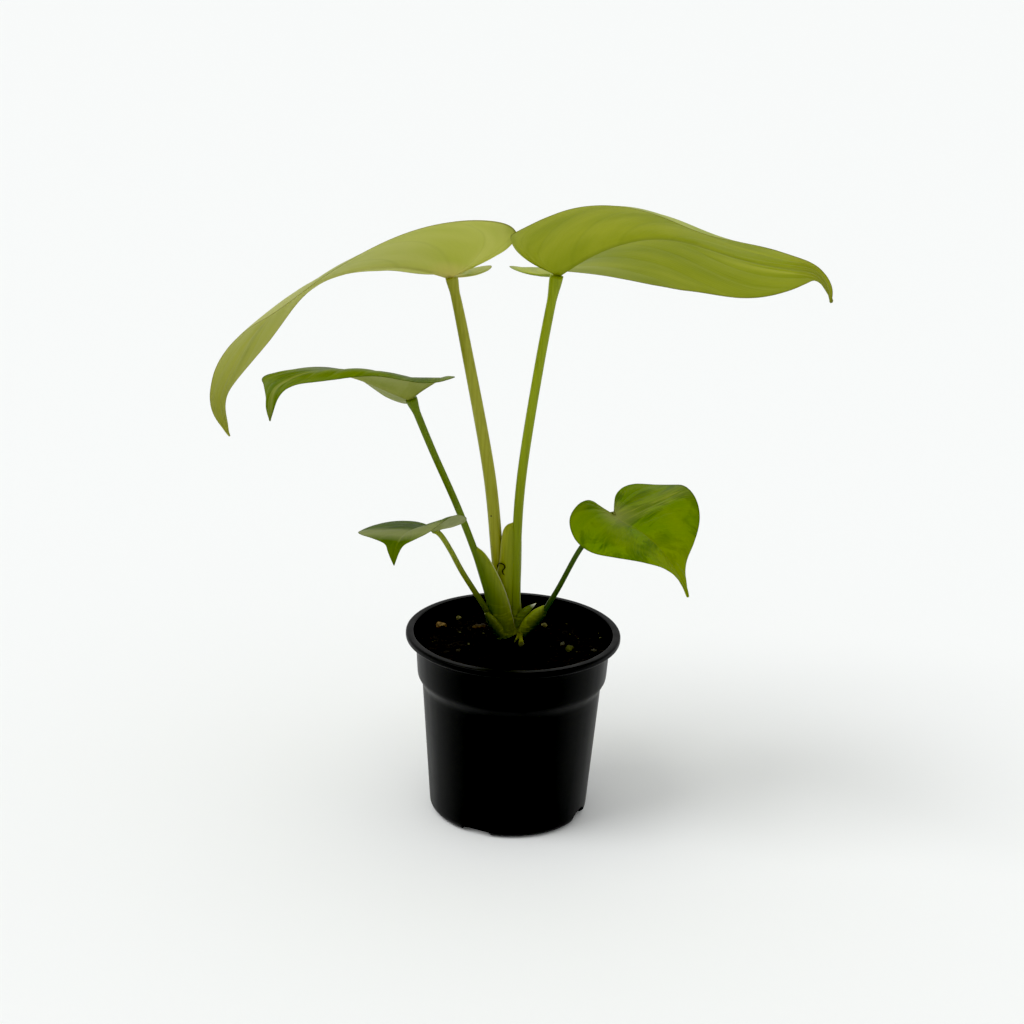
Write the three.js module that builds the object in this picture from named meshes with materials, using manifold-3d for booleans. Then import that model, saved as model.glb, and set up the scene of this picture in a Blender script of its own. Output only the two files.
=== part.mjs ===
// Potted super golden monstera: five heart-shaped leaves on sheathed stalks in a black nursery pot.
// Millimetres and degrees, +Z up. The origin is the centre of the pot's underside, and -Y is the front.
import * as THREE from 'three';
import { mergeVertices } from 'three/addons/utils/BufferGeometryUtils.js';
import Module from 'manifold-3d';

const wasm = await Module();
wasm.setup();

// Nursery pot
const rimRadius = 55;
const potHeight = 98;
const baseRadius = 41;
const shoulderRadius = 45.9;
const shoulderHeight = 68;
const collarFoot = 75.5;
const collarRadius = 49.6;
const lipHeight = 3.4;
const lipDepth = 4.2;
const lipRound = 1;
const wall = 1.3;
const potSegments = 48;
const drainNotch = { width: 16.5, height: 6.6, inward: 6, firstAngle: -24, count: 4 };

// Potting soil
const soilLevel = 91.2;
const soilMound = { height: 4.6, spread: 15, x: 0, y: 4 };
const soilRelief = 0.75;
const soilRings = 12;

// Space between pieces that touch, a little wider between the soil and the pot
const clearance = 0.3;
const soilGap = 0.4;

// Leaf blades
const bladeThickness = 0.8;
const midribHeight = 1.1;
const midribTaper = 0.75;
const lobeReach = 0.25;
const bladeRows = [0, 0.05, 0.25, 0.5, 0.75, 1];
const footStart = 0.35;
const dropSpan = 0.14;

// Half outlines, from the junction round the lobe to the tip: [share of length, share of half width]
const longHeart = [
  [0, 0], [-0.035, 0.15], [-0.075, 0.34], [-0.11, 0.55], [-0.115, 0.76], [-0.06, 0.93], [0.07, 1],
  [0.22, 0.99], [0.37, 0.92], [0.52, 0.79], [0.65, 0.61], [0.77, 0.38], [0.86, 0.17], [0.91, 0.09],
  [0.96, 0.05], [1, 0],
];
const bluntHeart = [
  [0, 0], [-0.05, 0.15], [-0.1, 0.35], [-0.13, 0.57], [-0.12, 0.77], [-0.05, 0.93], [0.08, 1], [0.22, 1],
  [0.37, 0.95], [0.51, 0.84], [0.62, 0.66], [0.7, 0.42], [0.77, 0.2], [0.87, 0.1], [1, 0],
];
const fullHeart = [
  [0, 0], [-0.05, 0.15], [-0.1, 0.35], [-0.13, 0.57], [-0.12, 0.77], [-0.05, 0.93], [0.08, 1], [0.22, 1],
  [0.37, 0.96], [0.52, 0.88], [0.65, 0.74], [0.75, 0.53], [0.82, 0.28], [0.88, 0.12], [0.94, 0.07], [1, 0],
];
const broadHeart = [
  [0, 0], [-0.08, 0.12], [-0.17, 0.28], [-0.21, 0.5], [-0.19, 0.74], [-0.1, 0.93], [0.05, 1], [0.2, 0.98],
  [0.35, 0.88], [0.5, 0.7], [0.62, 0.48], [0.71, 0.28], [0.79, 0.16], [0.88, 0.09], [1, 0],
];

// Each leaf: where its blade joins the stalk, its size, and how the blade is held. heading, pitch and roll
// are the midrib's attitude at even stations from behind the junction to the tip. fold lifts a half from
// the midrib, curl bends it on towards the margin, and tipDrop hooks the drip tip down from dropStart on.
const leaves = {
  upper_left: {
    junction: [-36, 14, 278.5], length: 174, left: longHeart, right: longHeart,
    halfLeft: 55, halfRight: 51,
    heading: [186, 173, 164], pitch: [16, 14, -9, -40, -61, -82], roll: [26, 31, 17, 8, 11, 8],
    tipDrop: 40, dropStart: 0.83,
    foldLeft: [50, 14, 4, -3], foldRight: [58, 17, 10, 5], curlLeft: [-32, -20], curlRight: [-22, -15],
    columns: 34, colour: 0x93a43c,
  },
  upper_right: {
    junction: [15.5, 6, 283], length: 151, left: longHeart, right: longHeart,
    halfLeft: 51, halfRight: 56,
    heading: [18, -19, -32], pitch: [2, 36, 20, -14, 0, 7], roll: [-27, -37, -37, -45],
    tipDrop: 75, dropStart: 0.84,
    foldLeft: [62, 16, -1, -9], foldRight: [55, 16, 0, 0], curlLeft: [-25, -27], curlRight: [-46, -28],
    columns: 32, colour: 0x86a02e,
  },
  middle_left: {
    junction: [-53.5, -14, 224], length: 96, left: bluntHeart, right: fullHeart,
    halfLeft: 38, halfRight: 39,
    heading: [208, 213, 236], pitch: [17, 25, 27, 6, -9, -21], roll: [38, 16, 13, 1],
    tipDrop: 63, dropStart: 0.78,
    foldLeft: [55, 25, 8, -14], foldRight: [21, 14, 4, -2], curlLeft: [-55, -10], curlRight: [0, -14],
    columns: 28, colour: 0x5f7f18,
  },
  small_left: {
    junction: [-40, -22, 159.5], length: 48, left: bluntHeart, right: bluntHeart,
    halfLeft: 21, halfRight: 32,
    heading: [210, 242, 260], pitch: [18, 23, 14, -2, -28, -62], roll: [4, 5, -4],
    tipDrop: 32, dropStart: 0.78,
    foldLeft: [37, 23, 9], foldRight: [3, -3, -1], curlLeft: [2, -12], curlRight: [-7, -12],
    columns: 24, colour: 0x4c7410,
  },
  lower_right: {
    junction: [48, -14, 167], length: 59.5, left: broadHeart, right: broadHeart,
    halfLeft: 41, halfRight: 33.5,
    heading: [-38, -43, -28], pitch: [-60, -24, -11, -30, -46, -62], roll: [-8, 8, -6],
    tipDrop: 0, dropStart: 0.8,
    foldLeft: [7, 9, 3], foldRight: [20, 11, 15], curlLeft: [4, 9], curlRight: [-34, -14],
    columns: 26, colour: 0x5d8a0e,
  },
};

// Each stalk: points from the buried foot to the neck under the blade, with its radius along the way, and
// the sheath that clasps the next younger stalk: points, half widths and half depths from foot to top.
// They stand in order of age, youngest and innermost first.
const stalks = {
  upper_left: {
    path: [[-3.5, 7, 86], [-5.5, 7.3, 103], [-9.3, 8.5, 135], [-15.1, 10.2, 181], [-28.8, 12.8, 247],
      [-35.6, 14, 277]],
    radius: [3.4, 3.3, 3.2, 3.1, 2.7, 2.0],
    colour: 0x83902a,
  },
  upper_right: {
    path: [[1, 5, 86], [0.6, 5.1, 106], [0.1, 5.3, 147], [2, 5.5, 183], [8.4, 5.8, 236], [15.2, 6, 281.4]],
    radius: [2.7, 2.6, 2.4, 2.4, 2.35, 2.3],
    sheath: {
      path: [[-1.6, 6.5, 86], [-2.6, 6.5, 101], [-4.2, 6.3, 116], [-2.9, 6, 131], [-2.6, 5.8, 145],
        [0, 5.3, 158]],
      halfWidth: [6.4, 7, 7.4, 5.9, 5.3, 2.2],
      halfDepth: [5, 5.2, 5, 4.2, 3.6, 2.2],
    },
    colour: 0x76851a,
  },
  middle_left: {
    path: [[-4.5, 1.5, 86], [-10.6, -0.3, 108], [-17.9, -3.3, 134], [-29.3, -6.9, 165], [-42.9, -10.8, 197],
      [-53.4, -14, 222]],
    radius: [2.1, 1.9, 1.8, 1.75, 1.75, 2.0],
    sheath: {
      path: [[-2.4, 2.6, 86], [-5.2, 2.2, 101], [-8.6, 1, 117], [-13, -0.4, 130], [-17.4, -2.6, 139],
        [-20.6, -4.3, 144]],
      halfWidth: [6, 6.6, 6.5, 5.8, 4.1, 1.5],
      halfDepth: [5.2, 5.5, 5, 4.4, 3, 1.5],
    },
    colour: 0x5d7410,
  },
  small_left: {
    path: [[-4, 1, 87], [-13.6, -3.8, 107.6], [-24.1, -11.6, 129.3], [-33.3, -18.5, 148.1],
      [-40, -21.8, 157.6]],
    radius: [1.7, 1.5, 1.4, 1.35, 1.4],
    sheath: {
      path: [[-4, 0.4, 87], [-6.9, -1.8, 97], [-10.8, -3.2, 104], [-14, -4.2, 109]],
      halfWidth: [3.2, 3.3, 2.7, 1.3],
      halfDepth: [2.8, 2.7, 2.2, 1.3],
    },
    colour: 0x4c6a0c,
  },
  lower_right: {
    path: [[2, 3, 87], [12.5, 0.1, 104.2], [21.5, -3.8, 122.2], [32, -9.4, 146.7], [40.5, -12, 158],
      [47.3, -13.6, 165.4]],
    radius: [1.8, 1.5, 1.35, 1.3, 1.3, 1.4],
    sheath: {
      path: [[2.5, 2.2, 87], [5.4, 1.2, 96.5], [7.4, 0.6, 100.5], [10, 0.2, 104.5], [13.6, -0.6, 109],
        [15.6, -1, 112]],
      halfWidth: [3, 3.4, 4.1, 4.2, 3.4, 1.5],
      halfDepth: [2.8, 3, 3, 2.8, 2.2, 1.3],
    },
    colour: 0x527010,
  },
};
const stalkSides = 12;
const stalkSteps = 16;
const sheathSteps = 10;
const crownSteps = 8;
const rootSteps = 10;

// Crown, side bud and root stub
const crown = {
  path: [[0, 4, 62], [0, 4, 74], [-0.4, 4, 86], [-0.4, 4, 96], [-0.4, 4, 101]],
  radius: [3.5, 5.4, 6, 5.6, 2.2],
};
const sideBud = {
  path: [[1.2, 2.4, 99], [3.4, 1.2, 106], [7, -0.2, 109.6], [10, -1, 112.6]],
  radius: [1.9, 2, 1.5, 0.4],
};
const rootStub = {
  path: [[2.8, 1, 96], [3.6, -2.6, 97], [4, -7, 96], [4.2, -10.4, 95.2], [4.2, -13, 94.8]],
  radius: [1.3, 1.1, 0.9, 1.4, 0.9],
};

// Plain hole in the soil that the crown and the feet of the stalks stand in
const stemHole = {
  path: [[0, 4, 61.7], [0, 4, 73.7], [-1.6, 2.8, 85.7], [-1.6, 2.8, 97.7], [-1.6, 2.8, 109.7]],
  halfWidth: [4, 6.2, 11.2, 11.2, 11.2],
  halfDepth: [4, 6.2, 10.2, 10.2, 10.2],
};

// Loose pieces half sunk in the soil: place, length, width, height and turn. lift is how far a piece's
// middle stands above the soil, as a share of its height.
const chipRoughness = { coarse: 0.16, fine: 0.08, lift: 0.1 };
const chips = {
  bark_chip_brown: { x: -17.3, y: 16.1, size: [7.4, 4.4, 3], turn: 20, colour: 0x6b4022 },
  bark_chip_tan: { x: -37.7, y: 19.2, size: [5.6, 4.2, 3], turn: -35, colour: 0x9c7648 },
  bark_chip_olive: { x: 28.7, y: -9, size: [6, 4, 3.4], turn: 60, colour: 0x6d6a2c },
  pumice_left_back: { x: -28.7, y: 31.2, size: [2.8, 2.2, 2.4], turn: 10, colour: 0xb9b6a8 },
  pumice_left_front: { x: -27.2, y: -15, size: [3.2, 2.4, 2.6], turn: 50, colour: 0xa8a598 },
  pumice_right_back: { x: 15.9, y: 19.8, size: [3.6, 2.2, 2.4], turn: -20, colour: 0xb2a878 },
  pumice_right_front: { x: 25.4, y: -2.6, size: [4.2, 1.9, 2.2], turn: 75, colour: 0xa9a690 },
  pumice_right_edge: { x: 41.5, y: -9, size: [3, 2.4, 2.4], turn: 0, colour: 0xa09c86 },
};

const degrees = Math.PI / 180;

// Smooth curve through evenly spaced values, straight on past both ends.
function through(values, t) {
  const last = values.length - 1;
  const place = THREE.MathUtils.clamp(t, 0, 1) * last;
  const k = Math.min(Math.floor(place), last - 1);
  const f = place - k;
  const b = values[k];
  const c = values[k + 1];
  const a = k > 0 ? values[k - 1] : 2 * b - c;
  const d = k < last - 1 ? values[k + 2] : 2 * c - b;
  const bend = 2 * a - 5 * b + 4 * c - d;
  const twist = 3 * b - a - 3 * c + d;
  return 0.5 * (2 * b + (c - a) * f + bend * f * f + twist * f * f * f);
}

function pointThrough(points, t) {
  return new THREE.Vector3(...[0, 1, 2].map((axis) => through(points.map((p) => p[axis]), t)));
}

function indexedGeometry(positions, triangles) {
  const geometry = new THREE.BufferGeometry();
  geometry.setAttribute('position', new THREE.Float32BufferAttribute(positions, 3));
  geometry.setIndex(triangles);
  return geometry;
}

function solidFrom(geometry) {
  const bare = geometry.clone();
  bare.deleteAttribute('normal');
  bare.deleteAttribute('uv');
  const merged = mergeVertices(bare, 1e-4);
  const vertProperties = new Float32Array(merged.attributes.position.array);
  const corners = Array.from(merged.index.array);
  const triVerts = [];
  for (let i = 0; i < corners.length; i += 3) {
    const [a, b, c] = corners.slice(i, i + 3);
    if (a !== b && b !== c && c !== a) triVerts.push(a, b, c);
  }
  const mesh = new wasm.Mesh({ numProp: 3, vertProperties, triVerts: new Uint32Array(triVerts) });
  return new wasm.Manifold(mesh);
}

function geometryFrom(solid) {
  const mesh = solid.getMesh();
  const geometry = indexedGeometry(Array.from(mesh.vertProperties), Array.from(mesh.triVerts));
  geometry.computeVertexNormals();
  return geometry;
}

// The largest of the pieces that a cut leaves: scraps are dropped.
function largestPiece(solid) {
  return solid.decompose().reduce((best, piece) => (piece.volume() > best.volume() ? piece : best));
}

// Closed tube along a path. A ring is an ellipse: its width lies across the path and its depth runs
// front to back. grow widens it all round, for cutting a neighbour with some clearance.
function tube(path, halfWidth, halfDepth, steps, grow = 0) {
  const positions = [];
  const triangles = [];
  const step = 1e-3;
  for (let i = 0; i <= steps; i += 1) {
    const t = i / steps;
    const centre = pointThrough(path, t);
    const behind = pointThrough(path, Math.max(t - step, 0));
    const along = pointThrough(path, Math.min(t + step, 1)).sub(behind).normalize();
    const depth = new THREE.Vector3(0, 1, 0).addScaledVector(along, -along.y).normalize();
    const across = new THREE.Vector3().crossVectors(depth, along);
    for (let j = 0; j < stalkSides; j += 1) {
      const angle = (j / stalkSides) * 2 * Math.PI;
      const corner = centre.clone();
      corner.addScaledVector(across, Math.cos(angle) * (through(halfWidth, t) + grow));
      corner.addScaledVector(depth, Math.sin(angle) * (through(halfDepth, t) + grow));
      positions.push(...corner);
    }
  }
  for (let i = 0; i < steps; i += 1) {
    for (let j = 0; j < stalkSides; j += 1) {
      const next = (j + 1) % stalkSides;
      const a = i * stalkSides + j;
      const b = i * stalkSides + next;
      triangles.push(a, b, a + stalkSides, b, b + stalkSides, a + stalkSides);
    }
  }
  const foot = positions.length / 3;
  const top = foot + 1;
  positions.push(...pointThrough(path, 0), ...pointThrough(path, 1));
  for (let j = 0; j < stalkSides; j += 1) {
    const next = (j + 1) % stalkSides;
    triangles.push(foot, next, j);
    triangles.push(top, steps * stalkSides + j, steps * stalkSides + next);
  }
  return solidFrom(indexedGeometry(positions, triangles));
}

// Share of the way from behind the junction to the tip, for a distance s along the midrib.
function stationOf(leaf, s) {
  return (s / leaf.length + lobeReach) / (1 + lobeReach);
}

// The midrib's own frame: along it, across it to the left, and out of the upper face.
function midribFrame(leaf, s) {
  const t = stationOf(leaf, s);
  const drop = THREE.MathUtils.smoothstep(s / leaf.length, leaf.dropStart, leaf.dropStart + dropSpan);
  const pitch = (through(leaf.pitch, t) - leaf.tipDrop * drop) * degrees;
  const heading = through(leaf.heading, t) * degrees;
  const roll = through(leaf.roll, t) * degrees;
  const level = Math.cos(pitch);
  const along = new THREE.Vector3(level * Math.cos(heading), level * Math.sin(heading), Math.sin(pitch));
  const side = new THREE.Vector3(-Math.sin(heading), Math.cos(heading), 0);
  const raised = new THREE.Vector3().crossVectors(along, side);
  const across = side.multiplyScalar(Math.cos(roll)).addScaledVector(raised, Math.sin(roll));
  const up = new THREE.Vector3().crossVectors(along, across);
  return { t, along, across, up };
}

// Points along the midrib, summed from its directions and shifted so that s = 0 is the junction.
function midribPoints(leaf) {
  const count = 250;
  const step = (leaf.length * (1 + lobeReach)) / count;
  const points = [new THREE.Vector3()];
  for (let i = 0; i < count; i += 1) {
    const middle = midribFrame(leaf, -lobeReach * leaf.length + (i + 0.5) * step).along;
    points.push(points[i].clone().addScaledVector(middle, step));
  }
  const at = (s) => {
    const place = THREE.MathUtils.clamp((s + lobeReach * leaf.length) / step, 0, count - 1e-6);
    const k = Math.floor(place);
    return points[k].clone().lerp(points[k + 1], place - k);
  };
  const shift = new THREE.Vector3(...leaf.junction).sub(at(0));
  return (s) => at(s).add(shift);
}

// A point of the blade's middle surface, s along the midrib and w out from it on the left or right half.
function bladePoint(leaf, midrib, s, w, isLeft) {
  const { t, across, up } = midribFrame(leaf, s);
  const half = isLeft ? leaf.halfLeft : leaf.halfRight;
  const fold = through(isLeft ? leaf.foldLeft : leaf.foldRight, t) * degrees;
  const bend = (through(isLeft ? leaf.curlLeft : leaf.curlRight, t) * degrees * w) / half / 2;
  const chord = Math.abs(bend) > 1e-6 ? (w * Math.sin(bend)) / bend : w;
  const sideways = chord * Math.cos(fold + bend) * (isLeft ? 1 : -1);
  return midrib(s).addScaledVector(across, sideways).addScaledVector(up, chord * Math.sin(fold + bend));
}

// Leaf blade: each half is a fan of rows from the midrib out to the margin, like its side veins. The
// middle surface is thickened alike on both faces, and the midrib stands out of the lower one.
function leafBlade(leaf, grow = 0) {
  const midrib = midribPoints(leaf);
  const rows = bladeRows.length;
  const columns = leaf.columns + 1;
  const middle = [];
  const ridges = [];
  const upper = [];
  for (const isLeft of [true, false]) {
    const outline = isLeft ? leaf.left : leaf.right;
    const half = isLeft ? leaf.halfLeft : leaf.halfRight;
    const first = middle.length / 3;
    for (let i = 0; i < columns; i += 1) {
      const t = i / (columns - 1);
      const foot = leaf.length * THREE.MathUtils.clamp((t - footStart) / (1 - footStart), 0, 1);
      const marginS = through(outline.map((p) => p[0]), t) * leaf.length;
      const marginW = i > 0 && i < columns - 1 ? through(outline.map((p) => p[1]), t) * half : 0;
      for (const share of bladeRows) {
        const s = foot + (marginS - foot) * share;
        middle.push(...bladePoint(leaf, midrib, s, marginW * share, isLeft));
        ridges.push(share === 0 ? 1 - midribTaper * (s / leaf.length) : 0);
      }
    }
    for (let i = 0; i < columns - 1; i += 1) {
      for (let j = 0; j < rows - 1; j += 1) {
        const a = first + i * rows + j;
        const b = a + rows;
        if (isLeft) upper.push(a, b, a + 1, b, b + 1, a + 1);
        else upper.push(a, a + 1, b, b, a + 1, b + 1);
      }
    }
  }
  const { welded, place } = weld(middle);
  const faces = [];
  for (let k = 0; k < upper.length; k += 3) {
    const [a, b, c] = [place[upper[k]], place[upper[k + 1]], place[upper[k + 2]]];
    if (a !== b && b !== c && c !== a) faces.push(a, b, c);
  }
  const sheet = indexedGeometry(welded, faces);
  sheet.computeVertexNormals();
  const count = welded.length / 3;
  const ridge = new Array(count).fill(0);
  ridges.forEach((value, k) => {
    ridge[place[k]] = Math.max(ridge[place[k]], value);
  });
  const positions = new Array(count * 6);
  for (let k = 0; k < count; k += 1) {
    const point = new THREE.Vector3().fromBufferAttribute(sheet.attributes.position, k);
    const normal = new THREE.Vector3().fromBufferAttribute(sheet.attributes.normal, k);
    const half = bladeThickness / 2 + grow;
    const above = point.clone().addScaledVector(normal, half);
    const below = point.clone().addScaledVector(normal, -half - midribHeight * ridge[k]);
    above.toArray(positions, k * 3);
    below.toArray(positions, (count + k) * 3);
  }
  const triangles = [...faces];
  for (let k = 0; k < faces.length; k += 3) {
    triangles.push(count + faces[k], count + faces[k + 2], count + faces[k + 1]);
  }
  for (const [a, b] of openEdges(faces)) {
    triangles.push(a, count + a, b, b, count + a, count + b);
  }
  return solidFrom(indexedGeometry(positions, triangles));
}

// Points that fall together become one: the new list, and each old point's place in it.
function weld(positions) {
  const seen = new Map();
  const welded = [];
  const place = [];
  for (let k = 0; k < positions.length; k += 3) {
    const point = positions.slice(k, k + 3);
    const key = point.map((value) => Math.round(value * 1e4)).join(' ');
    if (!seen.has(key)) {
      seen.set(key, welded.length / 3);
      welded.push(...point);
    }
    place.push(seen.get(key));
  }
  return { welded, place };
}

// Edges that only one face uses, in that face's direction.
function openEdges(faces) {
  const edges = new Map();
  for (let k = 0; k < faces.length; k += 3) {
    for (const [i, j] of [[0, 1], [1, 2], [2, 0]]) {
      const a = faces[k + i];
      const b = faces[k + j];
      if (edges.has(`${b} ${a}`)) edges.delete(`${b} ${a}`);
      else edges.set(`${a} ${b}`, [a, b]);
    }
  }
  return edges.values();
}

// A stalk with its sheath, before its neighbours are cut out of it.
function stalkBody(stalk, grow = 0) {
  const body = tube(stalk.path, stalk.radius, stalk.radius, stalkSteps, grow);
  if (!stalk.sheath) return body;
  const { path, halfWidth, halfDepth } = stalk.sheath;
  return body.add(tube(path, halfWidth, halfDepth, sheathSteps, grow));
}

// Pot: one thin moulded wall, [radius, height] from the middle of the floor up to the rolled lip and back.
const outsideProfile = [
  [baseRadius - 4, 0], [baseRadius - 1.2, 1.4], [baseRadius, 4.4],
  [shoulderRadius, shoulderHeight], [shoulderRadius + 0.8, shoulderHeight + 3],
  [collarRadius - 1.2, collarFoot], [collarRadius, potHeight - 8],
];
const insideProfile = [
  [baseRadius - 5.3, wall], [baseRadius - 2.6, wall + 1], [baseRadius - wall, wall + 3.5],
  ...outsideProfile.slice(3).map(([radius, height]) => [radius - wall, height]),
];
function nurseryPot() {
  const lipInside = rimRadius - lipDepth;
  const lipFoot = potHeight - lipHeight;
  const lip = [
    [collarRadius + 0.5, lipFoot], [rimRadius - lipRound, lipFoot], [rimRadius, lipFoot + lipRound],
    [rimRadius, potHeight - lipRound], [rimRadius - lipRound, potHeight], [lipInside + lipRound, potHeight],
    [lipInside, potHeight - lipRound], [collarRadius - 0.4, potHeight - 5],
  ];
  const profile = [[0, 0], ...outsideProfile, ...lip, ...insideProfile.toReversed(), [0, wall]];
  let pot = turned(profile, potSegments);
  for (let k = 0; k < drainNotch.count; k += 1) {
    const angle = (drainNotch.firstAngle - 90 + (k * 360) / drainNotch.count) * degrees;
    pot = pot.subtract(notchCutter(angle));
  }
  return pot;
}

function turned(profile, segments) {
  const points = profile.map(([radius, height]) => new THREE.Vector2(radius, height));
  const lathe = new THREE.LatheGeometry(points, segments);
  lathe.rotateX(Math.PI / 2);
  return solidFrom(lathe);
}

// Drainage notch: an arch drawn on the wall and run inwards through the bottom corner.
function notchCutter(angle) {
  const { width, height, inward } = drainNotch;
  const arch = new THREE.Shape();
  arch.moveTo(-width / 2, -2);
  arch.lineTo(width / 2, -2);
  arch.absellipse(0, 0, width / 2, height, 0, Math.PI, false);
  arch.closePath();
  const run = { depth: inward + 8, bevelEnabled: false, curveSegments: 10 };
  const cutter = new THREE.ExtrudeGeometry(arch, run);
  cutter.rotateX(Math.PI / 2);
  cutter.rotateZ(Math.PI / 2);
  const reach = new THREE.Box3().setFromBufferAttribute(cutter.attributes.position);
  cutter.translate(baseRadius - inward - reach.min.x, 0, 0);
  cutter.rotateZ(angle);
  return solidFrom(cutter);
}

// Height of the soil: a low mound round the crown, with lumps of bark and coarse mix.
function soilHeight(x, y) {
  const away = Math.hypot(x - soilMound.x, y - soilMound.y);
  const mound = soilMound.height * Math.exp(-((away / soilMound.spread) ** 2) / 2);
  const lumps = Math.sin(0.61 * x + 1.3) * Math.cos(0.53 * y - 0.4) + 0.6 * Math.sin(1.13 * x - 0.9 * y)
    + 0.5 * Math.cos(0.37 * x + 1.21 * y + 2);
  return soilLevel + mound + (soilRelief * lumps) / 2;
}

// Soil: fills the pot up to its lumpy top.
function pottingSoil() {
  const topRadius = collarRadius - wall - soilGap;
  const inside = insideProfile.slice(0, -1);
  const sides = inside.map(([radius, height]) => [radius - soilGap, height + clearance]);
  const positions = [0, 0, wall + clearance];
  const addRing = (radius, heightAt) => {
    for (let j = 0; j < potSegments; j += 1) {
      const angle = (j / potSegments) * 2 * Math.PI;
      const x = radius * Math.cos(angle);
      const y = radius * Math.sin(angle);
      positions.push(x, y, heightAt(x, y));
    }
  };
  sides.forEach(([radius, height]) => addRing(radius, () => height));
  for (let i = 0; i < soilRings; i += 1) addRing(topRadius * (1 - i / soilRings), soilHeight);
  positions.push(0, 0, soilHeight(0, 0));
  const ringCount = sides.length + soilRings;
  const triangles = [];
  const top = positions.length / 3 - 1;
  const last = 1 + (ringCount - 1) * potSegments;
  for (let j = 0; j < potSegments; j += 1) {
    const next = (j + 1) % potSegments;
    triangles.push(0, 1 + next, 1 + j);
    for (let i = 0; i < ringCount - 1; i += 1) {
      const a = 1 + i * potSegments + j;
      const b = 1 + i * potSegments + next;
      triangles.push(a, b, b + potSegments, a, b + potSegments, a + potSegments);
    }
    triangles.push(last + j, last + next, top);
  }
  return solidFrom(indexedGeometry(positions, triangles));
}

// A broken chip or grain: a rough ball flattened to its size, half sunk in the soil.
function chipSolid(chip, grow = 0) {
  const ball = new THREE.IcosahedronGeometry(0.5, 1);
  const position = ball.attributes.position;
  for (let k = 0; k < position.count; k += 1) {
    const p = new THREE.Vector3().fromBufferAttribute(position, k);
    const coarse = Math.sin(9 * p.x + chip.x) * Math.cos(7 * p.y + chip.y);
    const fine = Math.sin(11 * p.z + chip.turn);
    p.multiplyScalar(1 + chipRoughness.coarse * coarse + chipRoughness.fine * fine);
    position.setXYZ(k, ...chip.size.map((size, axis) => p.getComponent(axis) * (size + 2 * grow)));
  }
  ball.rotateZ(chip.turn * degrees);
  const middle = soilHeight(chip.x, chip.y) + chipRoughness.lift * chip.size[2];
  ball.translate(chip.x, chip.y, middle);
  return solidFrom(ball);
}

const object = new THREE.Group();
function addPiece(name, solid, colour, roughness) {
  const material = new THREE.MeshStandardMaterial({ color: colour, roughness, metalness: 0 });
  const mesh = new THREE.Mesh(geometryFrom(solid), material);
  mesh.name = name;
  object.add(mesh);
}

// Crown first, then the stalks from the innermost outwards. Each is cut clear of all that it clasps.
addPiece('crown', tube(crown.path, crown.radius, crown.radius, crownSteps), 0x5c6a14, 0.6);
let clasped = tube(crown.path, crown.radius, crown.radius, crownSteps, clearance);
for (const [name, stalk] of Object.entries(stalks)) {
  const leaf = leaves[name];
  const body = stalkBody(stalk).subtract(clasped).subtract(leafBlade(leaf, clearance));
  addPiece(`stalk_${name}`, largestPiece(body), stalk.colour, 0.45);
  addPiece(`leaf_${name}`, leafBlade(leaf), leaf.colour, 0.4);
  clasped = clasped.add(stalkBody(stalk, clearance));
}
const bud = (grow) => tube(sideBud.path, sideBud.radius, sideBud.radius, crownSteps, grow);
addPiece('side_bud', largestPiece(bud(0).subtract(clasped)), 0x5f7420, 0.5);
clasped = clasped.add(bud(clearance));
const root = (grow) => tube(rootStub.path, rootStub.radius, rootStub.radius, rootSteps, grow);
addPiece('root_stub', largestPiece(root(0).subtract(clasped)), 0x6f7422, 0.7);

addPiece('nursery_pot', nurseryPot(), 0x0b0b0c, 0.35);
const hole = tube(stemHole.path, stemHole.halfWidth, stemHole.halfDepth, crownSteps);
let soil = pottingSoil().subtract(hole.add(root(clearance)));
for (const [name, chip] of Object.entries(chips)) {
  soil = soil.subtract(chipSolid(chip, clearance));
  addPiece(name, chipSolid(chip), chip.colour, 0.85);
}
addPiece('potting_soil', largestPiece(soil), 0x14100c, 0.95);

export default object;
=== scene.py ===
import bmesh
import bpy
import numpy as np
from mathutils import Matrix, Vector


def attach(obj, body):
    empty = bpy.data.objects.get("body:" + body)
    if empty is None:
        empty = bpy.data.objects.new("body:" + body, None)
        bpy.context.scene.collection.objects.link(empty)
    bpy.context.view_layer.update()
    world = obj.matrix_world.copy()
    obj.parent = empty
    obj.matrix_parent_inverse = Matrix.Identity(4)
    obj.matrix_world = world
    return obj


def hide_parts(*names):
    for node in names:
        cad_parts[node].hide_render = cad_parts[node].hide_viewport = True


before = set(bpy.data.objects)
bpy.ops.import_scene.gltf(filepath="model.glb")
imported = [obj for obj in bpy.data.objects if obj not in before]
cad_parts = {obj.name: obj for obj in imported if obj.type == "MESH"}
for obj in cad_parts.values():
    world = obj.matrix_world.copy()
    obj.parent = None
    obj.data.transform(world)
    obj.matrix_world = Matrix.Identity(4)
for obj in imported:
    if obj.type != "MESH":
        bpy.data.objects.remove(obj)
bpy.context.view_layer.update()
scene = bpy.context.scene
mm = 0.001               # everything below is worked out in millimetres and put down in metres
print("frame loaded:", len(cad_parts), "nodes")

# Camera first: the photograph's own viewpoint
cameraView = {
    "place": (-2.6, -1018.3, 514.2),   # mm
    "pitchDown": 19.07,                # degrees below level, looking along +Y
    "roll": 1.85,                      # degrees, right side of the picture lower
    "focalShare": 2143.8 / 1024,       # focal length over picture width
    "sensorWidth": 36,
    "farEnd": 50,                      # m
    "blackLevel": 0.008,               # deep blacks, as photographed
}


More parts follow.
